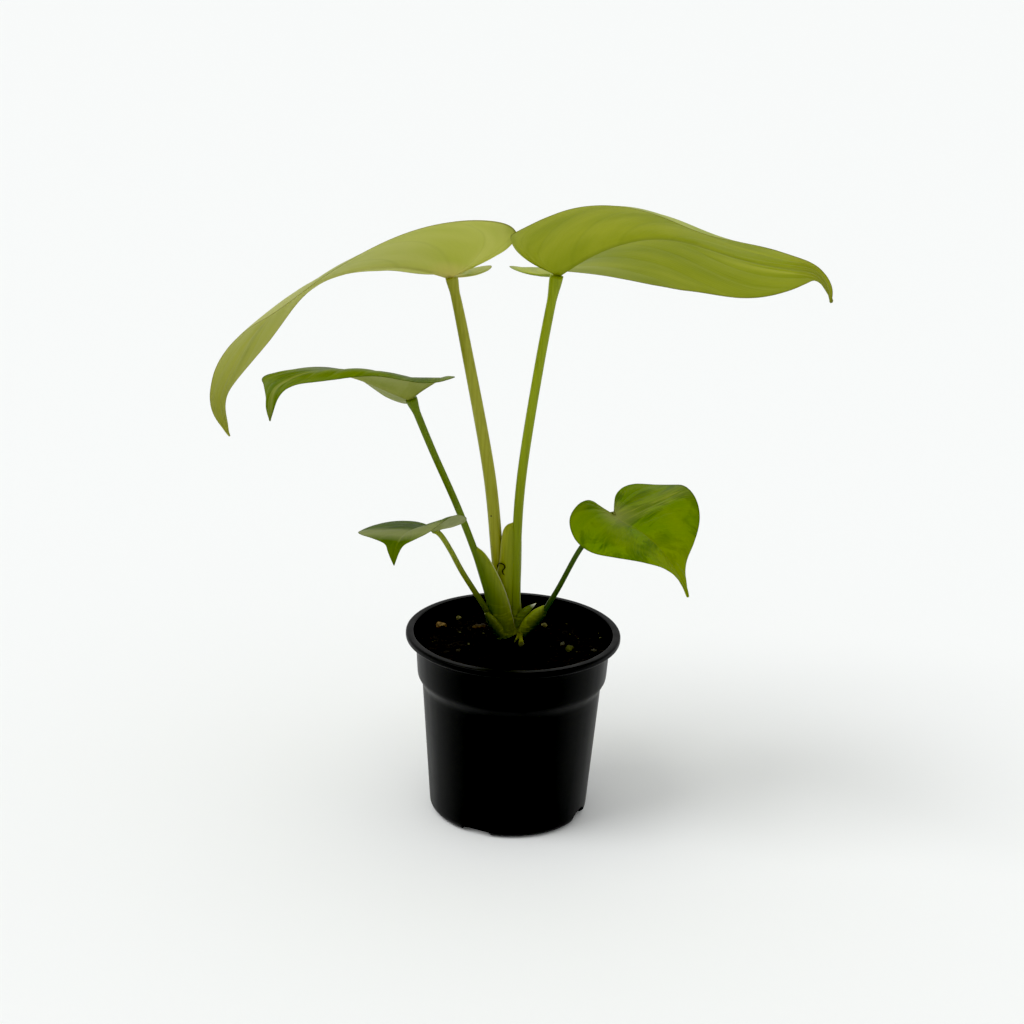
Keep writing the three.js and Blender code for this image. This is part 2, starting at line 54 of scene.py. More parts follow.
def addCamera(view):
    # It looks along +Y tilted down by the pitch. Right and up are turned about that line by the roll.
    pitch, roll = np.radians(view["pitchDown"]), np.radians(view["roll"])
    forward = np.array([0, np.cos(pitch), -np.sin(pitch)])
    level = np.array([1.0, 0, 0])
    raised = np.cross(level, forward)
    right = np.cos(roll) * level + np.sin(roll) * raised
    up = np.cos(roll) * raised - np.sin(roll) * level
    data = bpy.data.cameras.new("photoCamera")
    data.sensor_width = view["sensorWidth"]
    data.lens = view["focalShare"] * view["sensorWidth"]
    data.clip_end = view["farEnd"]
    camera = bpy.data.objects.new("photoCamera", data)
    turn = np.eye(4)
    turn[:3, 0], turn[:3, 1], turn[:3, 2] = right, up, -forward
    turn[:3, 3] = np.array(view["place"]) * mm
    camera.matrix_world = Matrix(turn.tolist())
    scene.collection.objects.link(camera)
    scene.camera = camera


addCamera(cameraView)
scene.view_settings.view_transform = "Standard"
scene.view_settings.use_curve_mapping = True
scene.view_settings.curve_mapping.black_level = (cameraView["blackLevel"],) * 3
scene.view_settings.curve_mapping.update()
print("camera placed")


# Numbers and meshes

def through(values, t):
    # Smooth curve through evenly spaced values: uniform Catmull-Rom, straight on past both ends.
    v = np.asarray(values, float)
    last = len(v) - 1
    place = np.clip(t, 0, 1) * last
    k = np.minimum(place.astype(int), last - 1)
    f = place - k
    b, c = v[k], v[k + 1]
    a = np.where(k > 0, v[np.maximum(k - 1, 0)], 2 * b - c)
    d = np.where(k < last - 1, v[np.minimum(k + 2, last)], 2 * c - b)
    squared = (2 * a - 5 * b + 4 * c - d) * f**2
    cubed = (3 * b - a - 3 * c + d) * f**3
    return 0.5 * (2 * b + (c - a) * f + squared + cubed)


def pointsThrough(points, t):
    # The same curve through points in space, one coordinate at a time.
    return np.stack([through([p[axis] for p in points], t) for axis in range(3)], -1)


def smoothStep(low, high, x):
    # 0 up to low, 1 from high on, and 3u^2 - 2u^3 of the share u between them.
    share = np.clip((x - low) / (high - low), 0, 1)
    return share * share * (3 - 2 * share)


def latticeNoise(x, y, cell, seed):
    # Value noise: seeded random heights on a square lattice, blended smoothly between its corners.
    size = 64
    table = np.random.default_rng(seed).uniform(-1, 1, (size, size))
    gx, gy = x / cell + 31.7, y / cell + 17.3      # shifted, so that no lattice line lies on an axis
    ix, iy = np.floor(gx).astype(int), np.floor(gy).astype(int)
    fx, fy = gx - ix, gy - iy
    fx, fy = fx * fx * (3 - 2 * fx), fy * fy * (3 - 2 * fy)
    left, right, near, far = ix % size, (ix + 1) % size, iy % size, (iy + 1) % size
    low = table[left, near] * (1 - fx) + table[right, near] * fx
    high = table[left, far] * (1 - fx) + table[right, far] * fx
    return low * (1 - fy) + high * fy


def gridFaces(rows, columns, wrap=False):
    # Corners of every cell of a rows by columns grid of points, split into two triangles.
    index = np.arange(rows * columns).reshape(rows, columns)
    right = np.roll(index, -1, 1) if wrap else index[:, 1:]
    left = index if wrap else index[:, :-1]
    a, b, c, d = left[:-1], right[:-1], right[1:], left[1:]
    return np.concatenate([np.stack([a, b, c], -1).reshape(-1, 3), np.stack([a, c, d], -1).reshape(-1, 3)])


def weld(points, faces, *columns):
    # Points that fall together become one, and faces that shrink to a line are dropped.
    _, first, place = np.unique(np.round(points, 5), axis=0, return_index=True, return_inverse=True)
    faces = place.reshape(-1)[faces]
    whole = (faces[:, 0] != faces[:, 1]) & (faces[:, 1] != faces[:, 2]) & (faces[:, 2] != faces[:, 0])
    return (points[first], faces[whole], *[column[first] for column in columns])


def vertexNormals(points, faces):
    # Mean of the faces round each point, weighted by their area.
    corners = points[faces]
    across = np.cross(corners[:, 1] - corners[:, 0], corners[:, 2] - corners[:, 0])
    normals = np.zeros_like(points)
    for k in range(3):
        np.add.at(normals, faces[:, k], across)
    return normals / np.maximum(np.linalg.norm(normals, axis=1, keepdims=True), 1e-12)


def icosphere(level):
    # Unit ball of nearly even triangles: an icosahedron divided, as points and faces.
    ball = bmesh.new()
    bmesh.ops.create_icosphere(ball, subdivisions=level, radius=1.0)
    mesh = bpy.data.meshes.new("ball")
    ball.to_mesh(mesh)
    ball.free()
    points = np.empty(len(mesh.vertices) * 3, np.float32)
    faces = np.empty(len(mesh.loops), np.int32)
    mesh.vertices.foreach_get("co", points)
    mesh.loops.foreach_get("vertex_index", faces)
    bpy.data.meshes.remove(mesh)
    return points.reshape(-1, 3).astype(float), faces.reshape(-1, 3).astype(int)


def joined(parts):
    # Several closed surfaces put together: points, faces and one value for each point.
    starts = np.cumsum([0] + [len(part[0]) for part in parts[:-1]])
    return (np.concatenate([part[0] for part in parts]),
            np.concatenate([part[1] + start for part, start in zip(parts, starts)]),
            np.concatenate([part[2] for part in parts]))


def addMesh(name, points, faces, layers=None, smooth=True):
    # Points in mm and triangles become a mesh in metres. Pairs make a UV map, single values an attribute.
    mesh = bpy.data.meshes.new(name)
    mesh.vertices.add(len(points))
    mesh.vertices.foreach_set("co", (np.asarray(points) * mm).astype(np.float32).ravel())
    mesh.loops.add(len(faces) * 3)
    mesh.loops.foreach_set("vertex_index", faces.astype(np.int32).ravel())
    mesh.polygons.add(len(faces))
    mesh.polygons.foreach_set("loop_start", np.arange(0, len(faces) * 3, 3, dtype=np.int32))
    mesh.update(calc_edges=True)
    mesh.polygons.foreach_set("use_smooth", np.full(len(faces), smooth))
    for layer, values in (layers or {}).items():
        values = np.asarray(values, np.float32)
        if values.ndim == 2:
            uv = mesh.uv_layers.new(name=layer)
            uv.data.foreach_set("uv", values[faces.ravel()].ravel())
        else:
            attribute = mesh.attributes.new(layer, "FLOAT", "POINT")
            attribute.data.foreach_set("value", values)
    mesh.validate()
    piece = bpy.data.objects.new(name, mesh)
    scene.collection.objects.link(piece)
    return piece


def settle(piece, material, slot, *nodes):
    # A finished piece gets its material, rides on the one body and stands for its CAD nodes.
    piece.data.materials.clear()
    piece.data.materials.append(material)
    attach(piece, "root")
    if nodes:
        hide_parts(*nodes)


# Shader helpers

def fill(tree, made, sockets):
    # Each input is linked where another node's socket is given, and else set to the value.
    for key, value in sockets.items():
        if isinstance(value, bpy.types.NodeSocket):
            tree.links.new(value, made.inputs[key])
        else:
            made.inputs[key].default_value = value


def node(tree, kind, sockets=None, **settings):
    # A shader node of this kind with its settings and its inputs filled.
    made = tree.nodes.new("ShaderNode" + kind)
    for key, value in settings.items():
        setattr(made, key, value)
    fill(tree, made, sockets or {})
    return made


def maths(tree, operation, a, b=0.0, c=0.0):
    # One Math node's result from a, b and, where the operation takes it, c.
    return node(tree, "Math", {0: a, 1: b, 2: c}, operation=operation).outputs[0]


def times(tree, a, b):
    # a times b.
    return maths(tree, "MULTIPLY", a, b)


def plus(tree, a, b):
    # a plus b.
    return maths(tree, "ADD", a, b)


def remap(tree, value, low, high, start=0.0, end=1.0):
    # Low to high becomes start to end, held at both ends.
    made = node(tree, "MapRange", {0: value, 1: low, 2: high, 3: start, 4: end}, clamp=True)
    return made.outputs[0]


def blend(tree, share, first, second, mode="MIX"):
    # The share of the second colour over the first.
    made = node(tree, "Mix", {0: share, 6: first, 7: second}, data_type="RGBA", blend_type=mode)
    return made.outputs[2]


def colour(text):
    # Linear colour with alpha from an sRGB hex text such as "8fa03c".
    channels = np.array([int(text[k:k + 2], 16) for k in (0, 2, 4)]) / 255
    linear = np.where(channels <= 0.04045, channels / 12.92, ((channels + 0.055) / 1.055) ** 2.4)
    return (*linear.tolist(), 1.0)


def paint(tree, tint, share, text):
    # A share of the hex colour over the tint.
    return blend(tree, share, tint, colour(text))


def objectPlace(tree):
    # Where a point lies in its piece, in metres.
    return node(tree, "TexCoord").outputs["Object"]


def attributeValue(tree, name):
    # The value that the mesh holds under this name, run smoothly over each face.
    return node(tree, "Attribute", attribute_name=name).outputs["Fac"]


def newMaterial(name):
    # A material with its tree and its Principled shader.
    material = bpy.data.materials.new(name)
    material.use_nodes = True
    return material, material.node_tree, material.node_tree.nodes["Principled BSDF"]


def finishShader(tree, shader, tint, rough, height, strength, depth, gloss):
    # Tint and roughness go to the shader, and the height to a bump of that strength and depth in metres.
    bump = node(tree, "Bump", {"Strength": strength, "Distance": depth, "Height": height})
    fill(tree, shader, {
        "Base Color": tint, "Roughness": rough, "Normal": bump.outputs[0], "Specular IOR Level": gloss})
    return bump.outputs[0]


def newGroup(name, inputs, outputs):
    # An empty node group with named inputs and outputs, each of a kind, and the sockets inside it to read.
    group = bpy.data.node_groups.new(name, "ShaderNodeTree")
    for direction, sockets in (("INPUT", inputs), ("OUTPUT", outputs)):
        for label, kind in sockets.items():
            group.interface.new_socket(label, in_out=direction, socket_type="NodeSocket" + kind)
    return group, group.nodes.new("NodeGroupInput").outputs


def closeGroup(group, values):
    # The values go to the group's outputs of the same names.
    fill(group, group.nodes.new("NodeGroupOutput"), values)
    return group


def makeSurfaceGrain():
    # Noise at place times stretch times scale, so it is drawn out along an axis with a small stretch.
    settings = ("Scale", "Detail", "Roughness", "Distortion")
    kinds = {"Place": "Vector", "Stretch": "Vector", **dict.fromkeys(settings, "Float")}
    group, given = newGroup("surfaceGrain", kinds, {"Grain": "Float"})
    drawn = node(group, "Mapping", {"Vector": given["Place"], "Scale": given["Stretch"]}).outputs[0]
    noise = node(group, "TexNoise", {"Vector": drawn, **{label: given[label] for label in settings}})
    return closeGroup(group, {"Grain": noise.outputs["Fac"]})


surfaceGrain = makeSurfaceGrain()


def grain(tree, place, scale, detail, stretch=(1, 1, 1), rough=0.5, warp=0.0):
    # The surface grain with this material's own values.
    return node(tree, "Group", {
        "Place": place, "Stretch": stretch, "Scale": scale, "Detail": detail, "Roughness": rough,
        "Distortion": warp}, node_tree=surfaceGrain).outputs[0]


# Leaf blades

def veinNoise(tree, given, across, along, scale, detail, warp):
    # Noise drawn out along the side veins: across and along count its cells in the two ways.
    ways = node(tree, "SeparateXYZ", {0: given["Veins"]}).outputs
    place = node(tree, "CombineXYZ", {
        "X": times(tree, ways["X"], across), "Y": times(tree, ways["Y"], along),
        "Z": plus(tree, given["Seed"], across)})
    return node(tree, "TexNoise", {
        "Vector": place.outputs[0], "Scale": scale, "Detail": detail, "Roughness": 0.6,
        "Distortion": warp}).outputs["Fac"]


def makeLeafPattern():
    # Veins.x counts along the side veins' starts, and a vein lies halfway between whole counts and narrows
    # outwards. Veins.y runs out to the margin. Mottle, blotch and lines are noise that follows the veins.
    group, given = newGroup(
        "leafPattern", {"Veins": "Vector", "Vein Count": "Float", "Seed": "Float", "Mottle Size": "Float"},
        dict.fromkeys(("Vein", "Fine", "Mottle", "Blotch", "Lines"), "Float"))
    ways = node(group, "SeparateXYZ", {0: given["Veins"]}).outputs
    count = times(group, ways["X"], given["Vein Count"])
    apart = maths(group, "ABSOLUTE", maths(group, "SUBTRACT", maths(group, "FRACT", count), 0.5))
    width = remap(group, maths(group, "ABSOLUTE", ways["Y"]), 0, 1, 0.09, 0.035)
    return closeGroup(group, {
        "Vein": remap(group, maths(group, "DIVIDE", apart, width), 0, 1, 1, 0),
        "Fine": maths(group, "SINE", times(group, count, 56)),
        "Mottle": veinNoise(group, given, 10, 1.5, scale=given["Mottle Size"], detail=5, warp=0.7),
        "Blotch": veinNoise(group, given, 3.6, 1.1, scale=1.3, detail=2, warp=0.4),
        "Lines": veinNoise(group, given, 95, 2.2, scale=1, detail=3, warp=0.2)})


leafPattern = makeLeafPattern()


def leafMaterial(name, look):
    # Each face mixes its own tints by the mottling. Over them lie the midrib, the side veins, a patch round
    # the junction (a painted sheen on one leaf), the listed marks (on some leaves painted sheen and painted
    # shade in folds), the tip and the margin. Some light shines through.
    material, tree, shader = newMaterial(name)
    veins = node(tree, "UVMap", uv_map="veins").outputs[0]
    ways = node(tree, "SeparateXYZ", {0: veins}).outputs
    place = node(tree, "SeparateXYZ", {0: node(tree, "UVMap", uv_map="place").outputs[0]}).outputs
    pattern = node(tree, "Group", {
        "Veins": veins, "Vein Count": look["veinCount"], "Seed": look["seed"],
        "Mottle Size": look["mottleSize"]}, node_tree=leafPattern).outputs
    upper = attributeValue(tree, "upperFace")
    streak = remap(tree, pattern["Mottle"], *look["mottleRange"])
    blotch = remap(tree, pattern["Blotch"], *look["blotchRange"])
    lines = remap(tree, pattern["Lines"], *look["lineRange"])
    dark, light, gold = look["upper"]
    above = blend(tree, streak, colour(dark), colour(light))
    above = paint(tree, above, times(tree, blotch, 0.6), gold)
    above = paint(tree, above, times(tree, lines, look["lineShow"]), gold)
    dark, light, gold = look["lower"]
    below = blend(tree, times(tree, blotch, 0.7), colour(dark), colour(light))
    below = paint(tree, below, times(tree, streak, 0.3), gold)
    tint = blend(tree, upper, below, above)
    tint = paint(tree, tint, remap(tree, place["Y"], 0, look["midribWidth"], 0.8, 0), look["ribTint"])
    tint = paint(tree, tint, times(tree, pattern["Vein"], look["veinShow"]), look["veinTint"])
    reach = node(tree, "CombineXYZ", {"X": times(tree, place["X"], look["length"]), "Y": place["Y"]})
    reach = node(tree, "VectorMath", {0: reach.outputs[0]}, operation="LENGTH").outputs["Value"]
    patch = times(tree, remap(tree, reach, look["patchSize"], 1), look["patchShow"])
    tint = paint(tree, tint, patch, look["patchTint"])
    for mark in look["marks"]:
        position = place["X"] if mark["kind"] == "band" else ways["X"]
        away = maths(tree, "ABSOLUTE", maths(tree, "SUBTRACT", position, mark["centre"]))
        show = remap(tree, away, mark["spread"], 0.35 * mark["spread"], 0, mark["share"])
        show = times(tree, show, remap(tree, ways["Y"], *mark["out"]))
        if mark["kind"] == "streaks":
            show = times(tree, show, maths(tree, "MULTIPLY_ADD", lines, 0.7, 0.3))
        tint = paint(tree, tint, show, mark["tint"])
    tip = times(tree, remap(tree, place["X"], *look["tipRange"]), look["tipShow"])
    tint = paint(tree, tint, tip, look["tipTint"])
    outwards = maths(tree, "ABSOLUTE", ways["Y"])
    margin = remap(tree, outwards, look["marginFrom"], 1, 0, look["marginShow"])
    tint = paint(tree, tint, margin, look["marginTint"])
    fine = grain(tree, objectPlace(tree), look["grainScale"], 3)
    rough = remap(tree, upper, 0, 1, look["roughBelow"], look["roughAbove"])
    rough = plus(tree, rough, times(tree, maths(tree, "SUBTRACT", fine, 0.5), look["roughSpread"]))
    height = plus(tree, times(tree, pattern["Fine"], 0.35), fine)
    height = plus(tree, height, times(tree, pattern["Lines"], 0.6))
    bump = finishShader(tree, shader, tint, rough, height, look["bump"], look["bumpDepth"], look["gloss"])
    shine = node(tree, "BsdfTranslucent", {"Color": tint, "Normal": bump})
    both = node(tree, "MixShader", {0: look["glow"], 1: shader.outputs[0], 2: shine.outputs[0]})
    fill(tree, tree.nodes["Material Output"], {"Surface": both.outputs[0]})
    return material


# Half outlines from the junction round the lobe to the tip: share of length, share of half width
narrowLobe = [(0, 0), (-0.035, 0.15), (-0.075, 0.34), (-0.11, 0.55), (-0.115, 0.76), (-0.06, 0.93),
              (0.07, 1)]
roundLobe = [(0, 0), (-0.05, 0.15), (-0.1, 0.35), (-0.13, 0.57), (-0.12, 0.77), (-0.05, 0.93), (0.08, 1)]
wideLobe = [(0, 0), (-0.08, 0.12), (-0.17, 0.28), (-0.21, 0.5), (-0.19, 0.74), (-0.1, 0.93), (0.05, 1)]
heartOutlines = {
    "long": narrowLobe + [(0.22, 0.99), (0.37, 0.92), (0.52, 0.79), (0.65, 0.61), (0.77, 0.38),
                          (0.86, 0.18), (0.91, 0.12), (0.96, 0.08), (1, 0)],
    "slim": narrowLobe + [(0.22, 0.99), (0.37, 0.88), (0.49, 0.69), (0.6, 0.46), (0.69, 0.35), (0.77, 0.29),
                          (0.86, 0.18), (0.92, 0.11), (1, 0)],
    "blunt": roundLobe + [(0.22, 1), (0.37, 0.95), (0.51, 0.84), (0.62, 0.66), (0.7, 0.42), (0.77, 0.2),
                          (0.87, 0.1), (1, 0)],
    "full": roundLobe + [(0.22, 1), (0.37, 0.96), (0.52, 0.88), (0.65, 0.74), (0.75, 0.53), (0.82, 0.28),
                         (0.88, 0.12), (0.94, 0.07), (1, 0)],
    "broad": wideLobe + [(0.2, 0.98), (0.35, 0.88), (0.5, 0.7), (0.62, 0.48), (0.71, 0.28), (0.79, 0.16),
                         (0.88, 0.09), (1, 0)],
}
blade = {
    "thickness": 0.7, "marginThickness": 0.18,
    "lobeReach": 0.25,      # share of length behind the junction where the midrib's curves start
    "footStart": 0.35,      # share of the outline whose veins all start at the junction
    "crowding": 1.25,       # rows draw closer together towards the margin
    "tipLength": 0.14,      # share of length over which the tip droops
    "ribHeight": 1.1, "ribWidth": 1.7,
    "grooveDepth": 0.22, "grooveWidth": 0.9,                    # along the midrib, in the upper face
    "veinDepth": 0.16, "veinWidth": 0.085, "puff": 0.2,         # side veins, and the swell between them
    "waveCell": 9, "wavesAlong": 60, "wavesOut": 14,
    "columns": 170, "rows": 30,
}


def midribFrame(leaf, s):
    # Unit vectors along the midrib, across it to the left and out of the upper face. Pitch, heading and
    # roll are smooth curves along the leaf, from behind its junction to its tip.
    t = (s / leaf["length"] + blade["lobeReach"]) / (1 + blade["lobeReach"])
    drop = smoothStep(leaf["dropStart"], leaf["dropStart"] + blade["tipLength"], s / leaf["length"])
    pitch = np.radians(through(leaf["pitch"], t) - leaf["tipDrop"] * drop)
    heading = np.radians(through(leaf["heading"], t))
    roll = np.radians(through(leaf["roll"], t))[..., None]
    along = np.stack([np.cos(pitch) * np.cos(heading), np.cos(pitch) * np.sin(heading), np.sin(pitch)], -1)
    side = np.stack([-np.sin(heading), np.cos(heading), np.zeros_like(heading)], -1)
    across = side * np.cos(roll) + np.cross(along, side) * np.sin(roll)
    return t, along, across, np.cross(along, across)


def midribPoints(leaf, s):
    # The midrib's directions summed from behind the junction, shifted so that s = 0 is the junction.
    stations = np.linspace(-blade["lobeReach"], 1, 601) * leaf["length"]
    along = midribFrame(leaf, (stations[1:] + stations[:-1]) / 2)[1]
    summed = np.vstack([np.zeros(3), np.cumsum(along * (stations[1] - stations[0]), 0)])
    points = np.stack([np.interp(s, stations, summed[:, axis]) for axis in range(3)], -1)
    start = np.array([np.interp(0.0, stations, summed[:, axis]) for axis in range(3)])
    return points - start + np.array(leaf["junction"], float)


def bladePoints(leaf, s, w, half):
    # Half 0 is the left one. It is folded up from the midrib and rolled on into an arc as it goes out.
    t, _, across, up = midribFrame(leaf, s)
    fold = np.radians(through(leaf["fold"][half], t))
    bend = np.radians(through(leaf["curl"][half], t)) * w / leaf["half"][half] / 2
    chord = w * np.sinc(bend / np.pi)
    sideways = chord * np.cos(fold + bend) * (1 - 2 * half)
    return (midribPoints(leaf, s) + across * sideways[..., None]
            + up * (chord * np.sin(fold + bend))[..., None])


def bladeSheet(leaf):
    # Both halves as fans of rows from the midrib out to the margin, welded along the midrib.
    columns, rows = blade["columns"], blade["rows"]
    count = columns * rows
    t = np.linspace(0, 1, columns)
    share = 1 - (1 - np.linspace(0, 1, rows)) ** blade["crowding"]
    foot = leaf["length"] * np.clip((t - blade["footStart"]) / (1 - blade["footStart"]), 0, 1)
    parts = []
    for half, kind in enumerate(leaf["outline"]):
        outline = heartOutlines[kind]
        marginS = through([p[0] for p in outline], t) * leaf["length"]
        marginW = np.abs(through([p[1] for p in outline], t)) * leaf["half"][half]
        marginS = np.where(marginS < 0, marginS * leaf["lobes"][half], marginS)
        marginW[[0, -1]] = 0
        s = foot[:, None] + (marginS - foot)[:, None] * share
        w = marginW[:, None] * share
        out = np.broadcast_to(share, s.shape)
        veins = np.stack([t[:, None] - leaf["sweep"] * out**1.3, (1 - 2 * half) * out], -1)
        faces = gridFaces(columns, rows)
        faces = faces if half else faces[:, ::-1]
        values = [value.reshape(count, -1) for value in (bladePoints(leaf, s, w, half), veins)]
        parts.append((values[0], faces + half * count, values[1],
                      *[value.reshape(count) for value in (s / leaf["length"], w, out)]))
    return weld(*[np.concatenate(column) for column in zip(*parts)])


def bladeRelief(leaf, phase, out, w):
    # Depth that the side veins are pressed into the upper face, with the blade puffed up between them.
    nearest = np.abs((phase * leaf["veinCount"]) % 1 - 0.5)
    fade = smoothStep(0.03, 0.3, out) * (1 - 0.7 * smoothStep(0.75, 1, out))
    pressed = -blade["veinDepth"] * np.exp(-((nearest / blade["veinWidth"]) ** 2))
    pressed = pressed + blade["puff"] * smoothStep(0, 0.5, nearest)
    groove = -blade["grooveDepth"] * np.exp(-((w / blade["grooveWidth"]) ** 2))
    return leaf["pleat"] * fade * pressed + groove


def thickened(points, normals, faces, raised, lowered):
    # The sheet raised and lowered along its normals, with a wall of triangle pairs round its open edge.
    count = len(points)
    edges = np.concatenate([faces[:, [0, 1]], faces[:, [1, 2]], faces[:, [2, 0]]])
    forward = edges[:, 0].astype(np.int64) * count + edges[:, 1]
    backward = edges[:, 1].astype(np.int64) * count + edges[:, 0]
    a, b = edges[~np.isin(forward, backward)].T
    wall = np.concatenate([np.stack([a, a + count, b], -1), np.stack([b, a + count, b + count], -1)])
    both = np.concatenate([points + normals * raised[:, None], points - normals * lowered[:, None]])
    return both, np.concatenate([faces, faces[:, ::-1] + count, wall])


def addLeaf(name, leaf):
    # The sheet with its relief and long waves, thin at the margin, with the midrib standing out underneath.
    points, faces, veins, along, w, out = bladeSheet(leaf)
    normals = vertexNormals(points, faces)
    points = points + normals * bladeRelief(leaf, veins[:, 0], out, w)[:, None]
    waves = latticeNoise(veins[:, 0] * blade["wavesAlong"], veins[:, 1] * blade["wavesOut"],
                         blade["waveCell"], leaf["seed"])
    points = points + normals * (leaf["waviness"] * smoothStep(0.1, 1, out) * waves)[:, None]
    thinning = (blade["marginThickness"] - blade["thickness"]) * smoothStep(0.8, 1, out)
    half = (blade["thickness"] + thinning) / 2
    rib = blade["ribHeight"] * (1 - 0.8 * np.clip(along, 0, 1)) * np.exp(-((w / blade["ribWidth"]) ** 2))
    count = len(points)
    points, faces = thickened(points, normals, faces, half, half + rib)
    return addMesh(name, points, faces, {
        "veins": np.tile(veins, (2, 1)), "place": np.tile(np.stack([along, w], -1), (2, 1)),
        "upperFace": np.repeat([1.0, 0.0], count)})


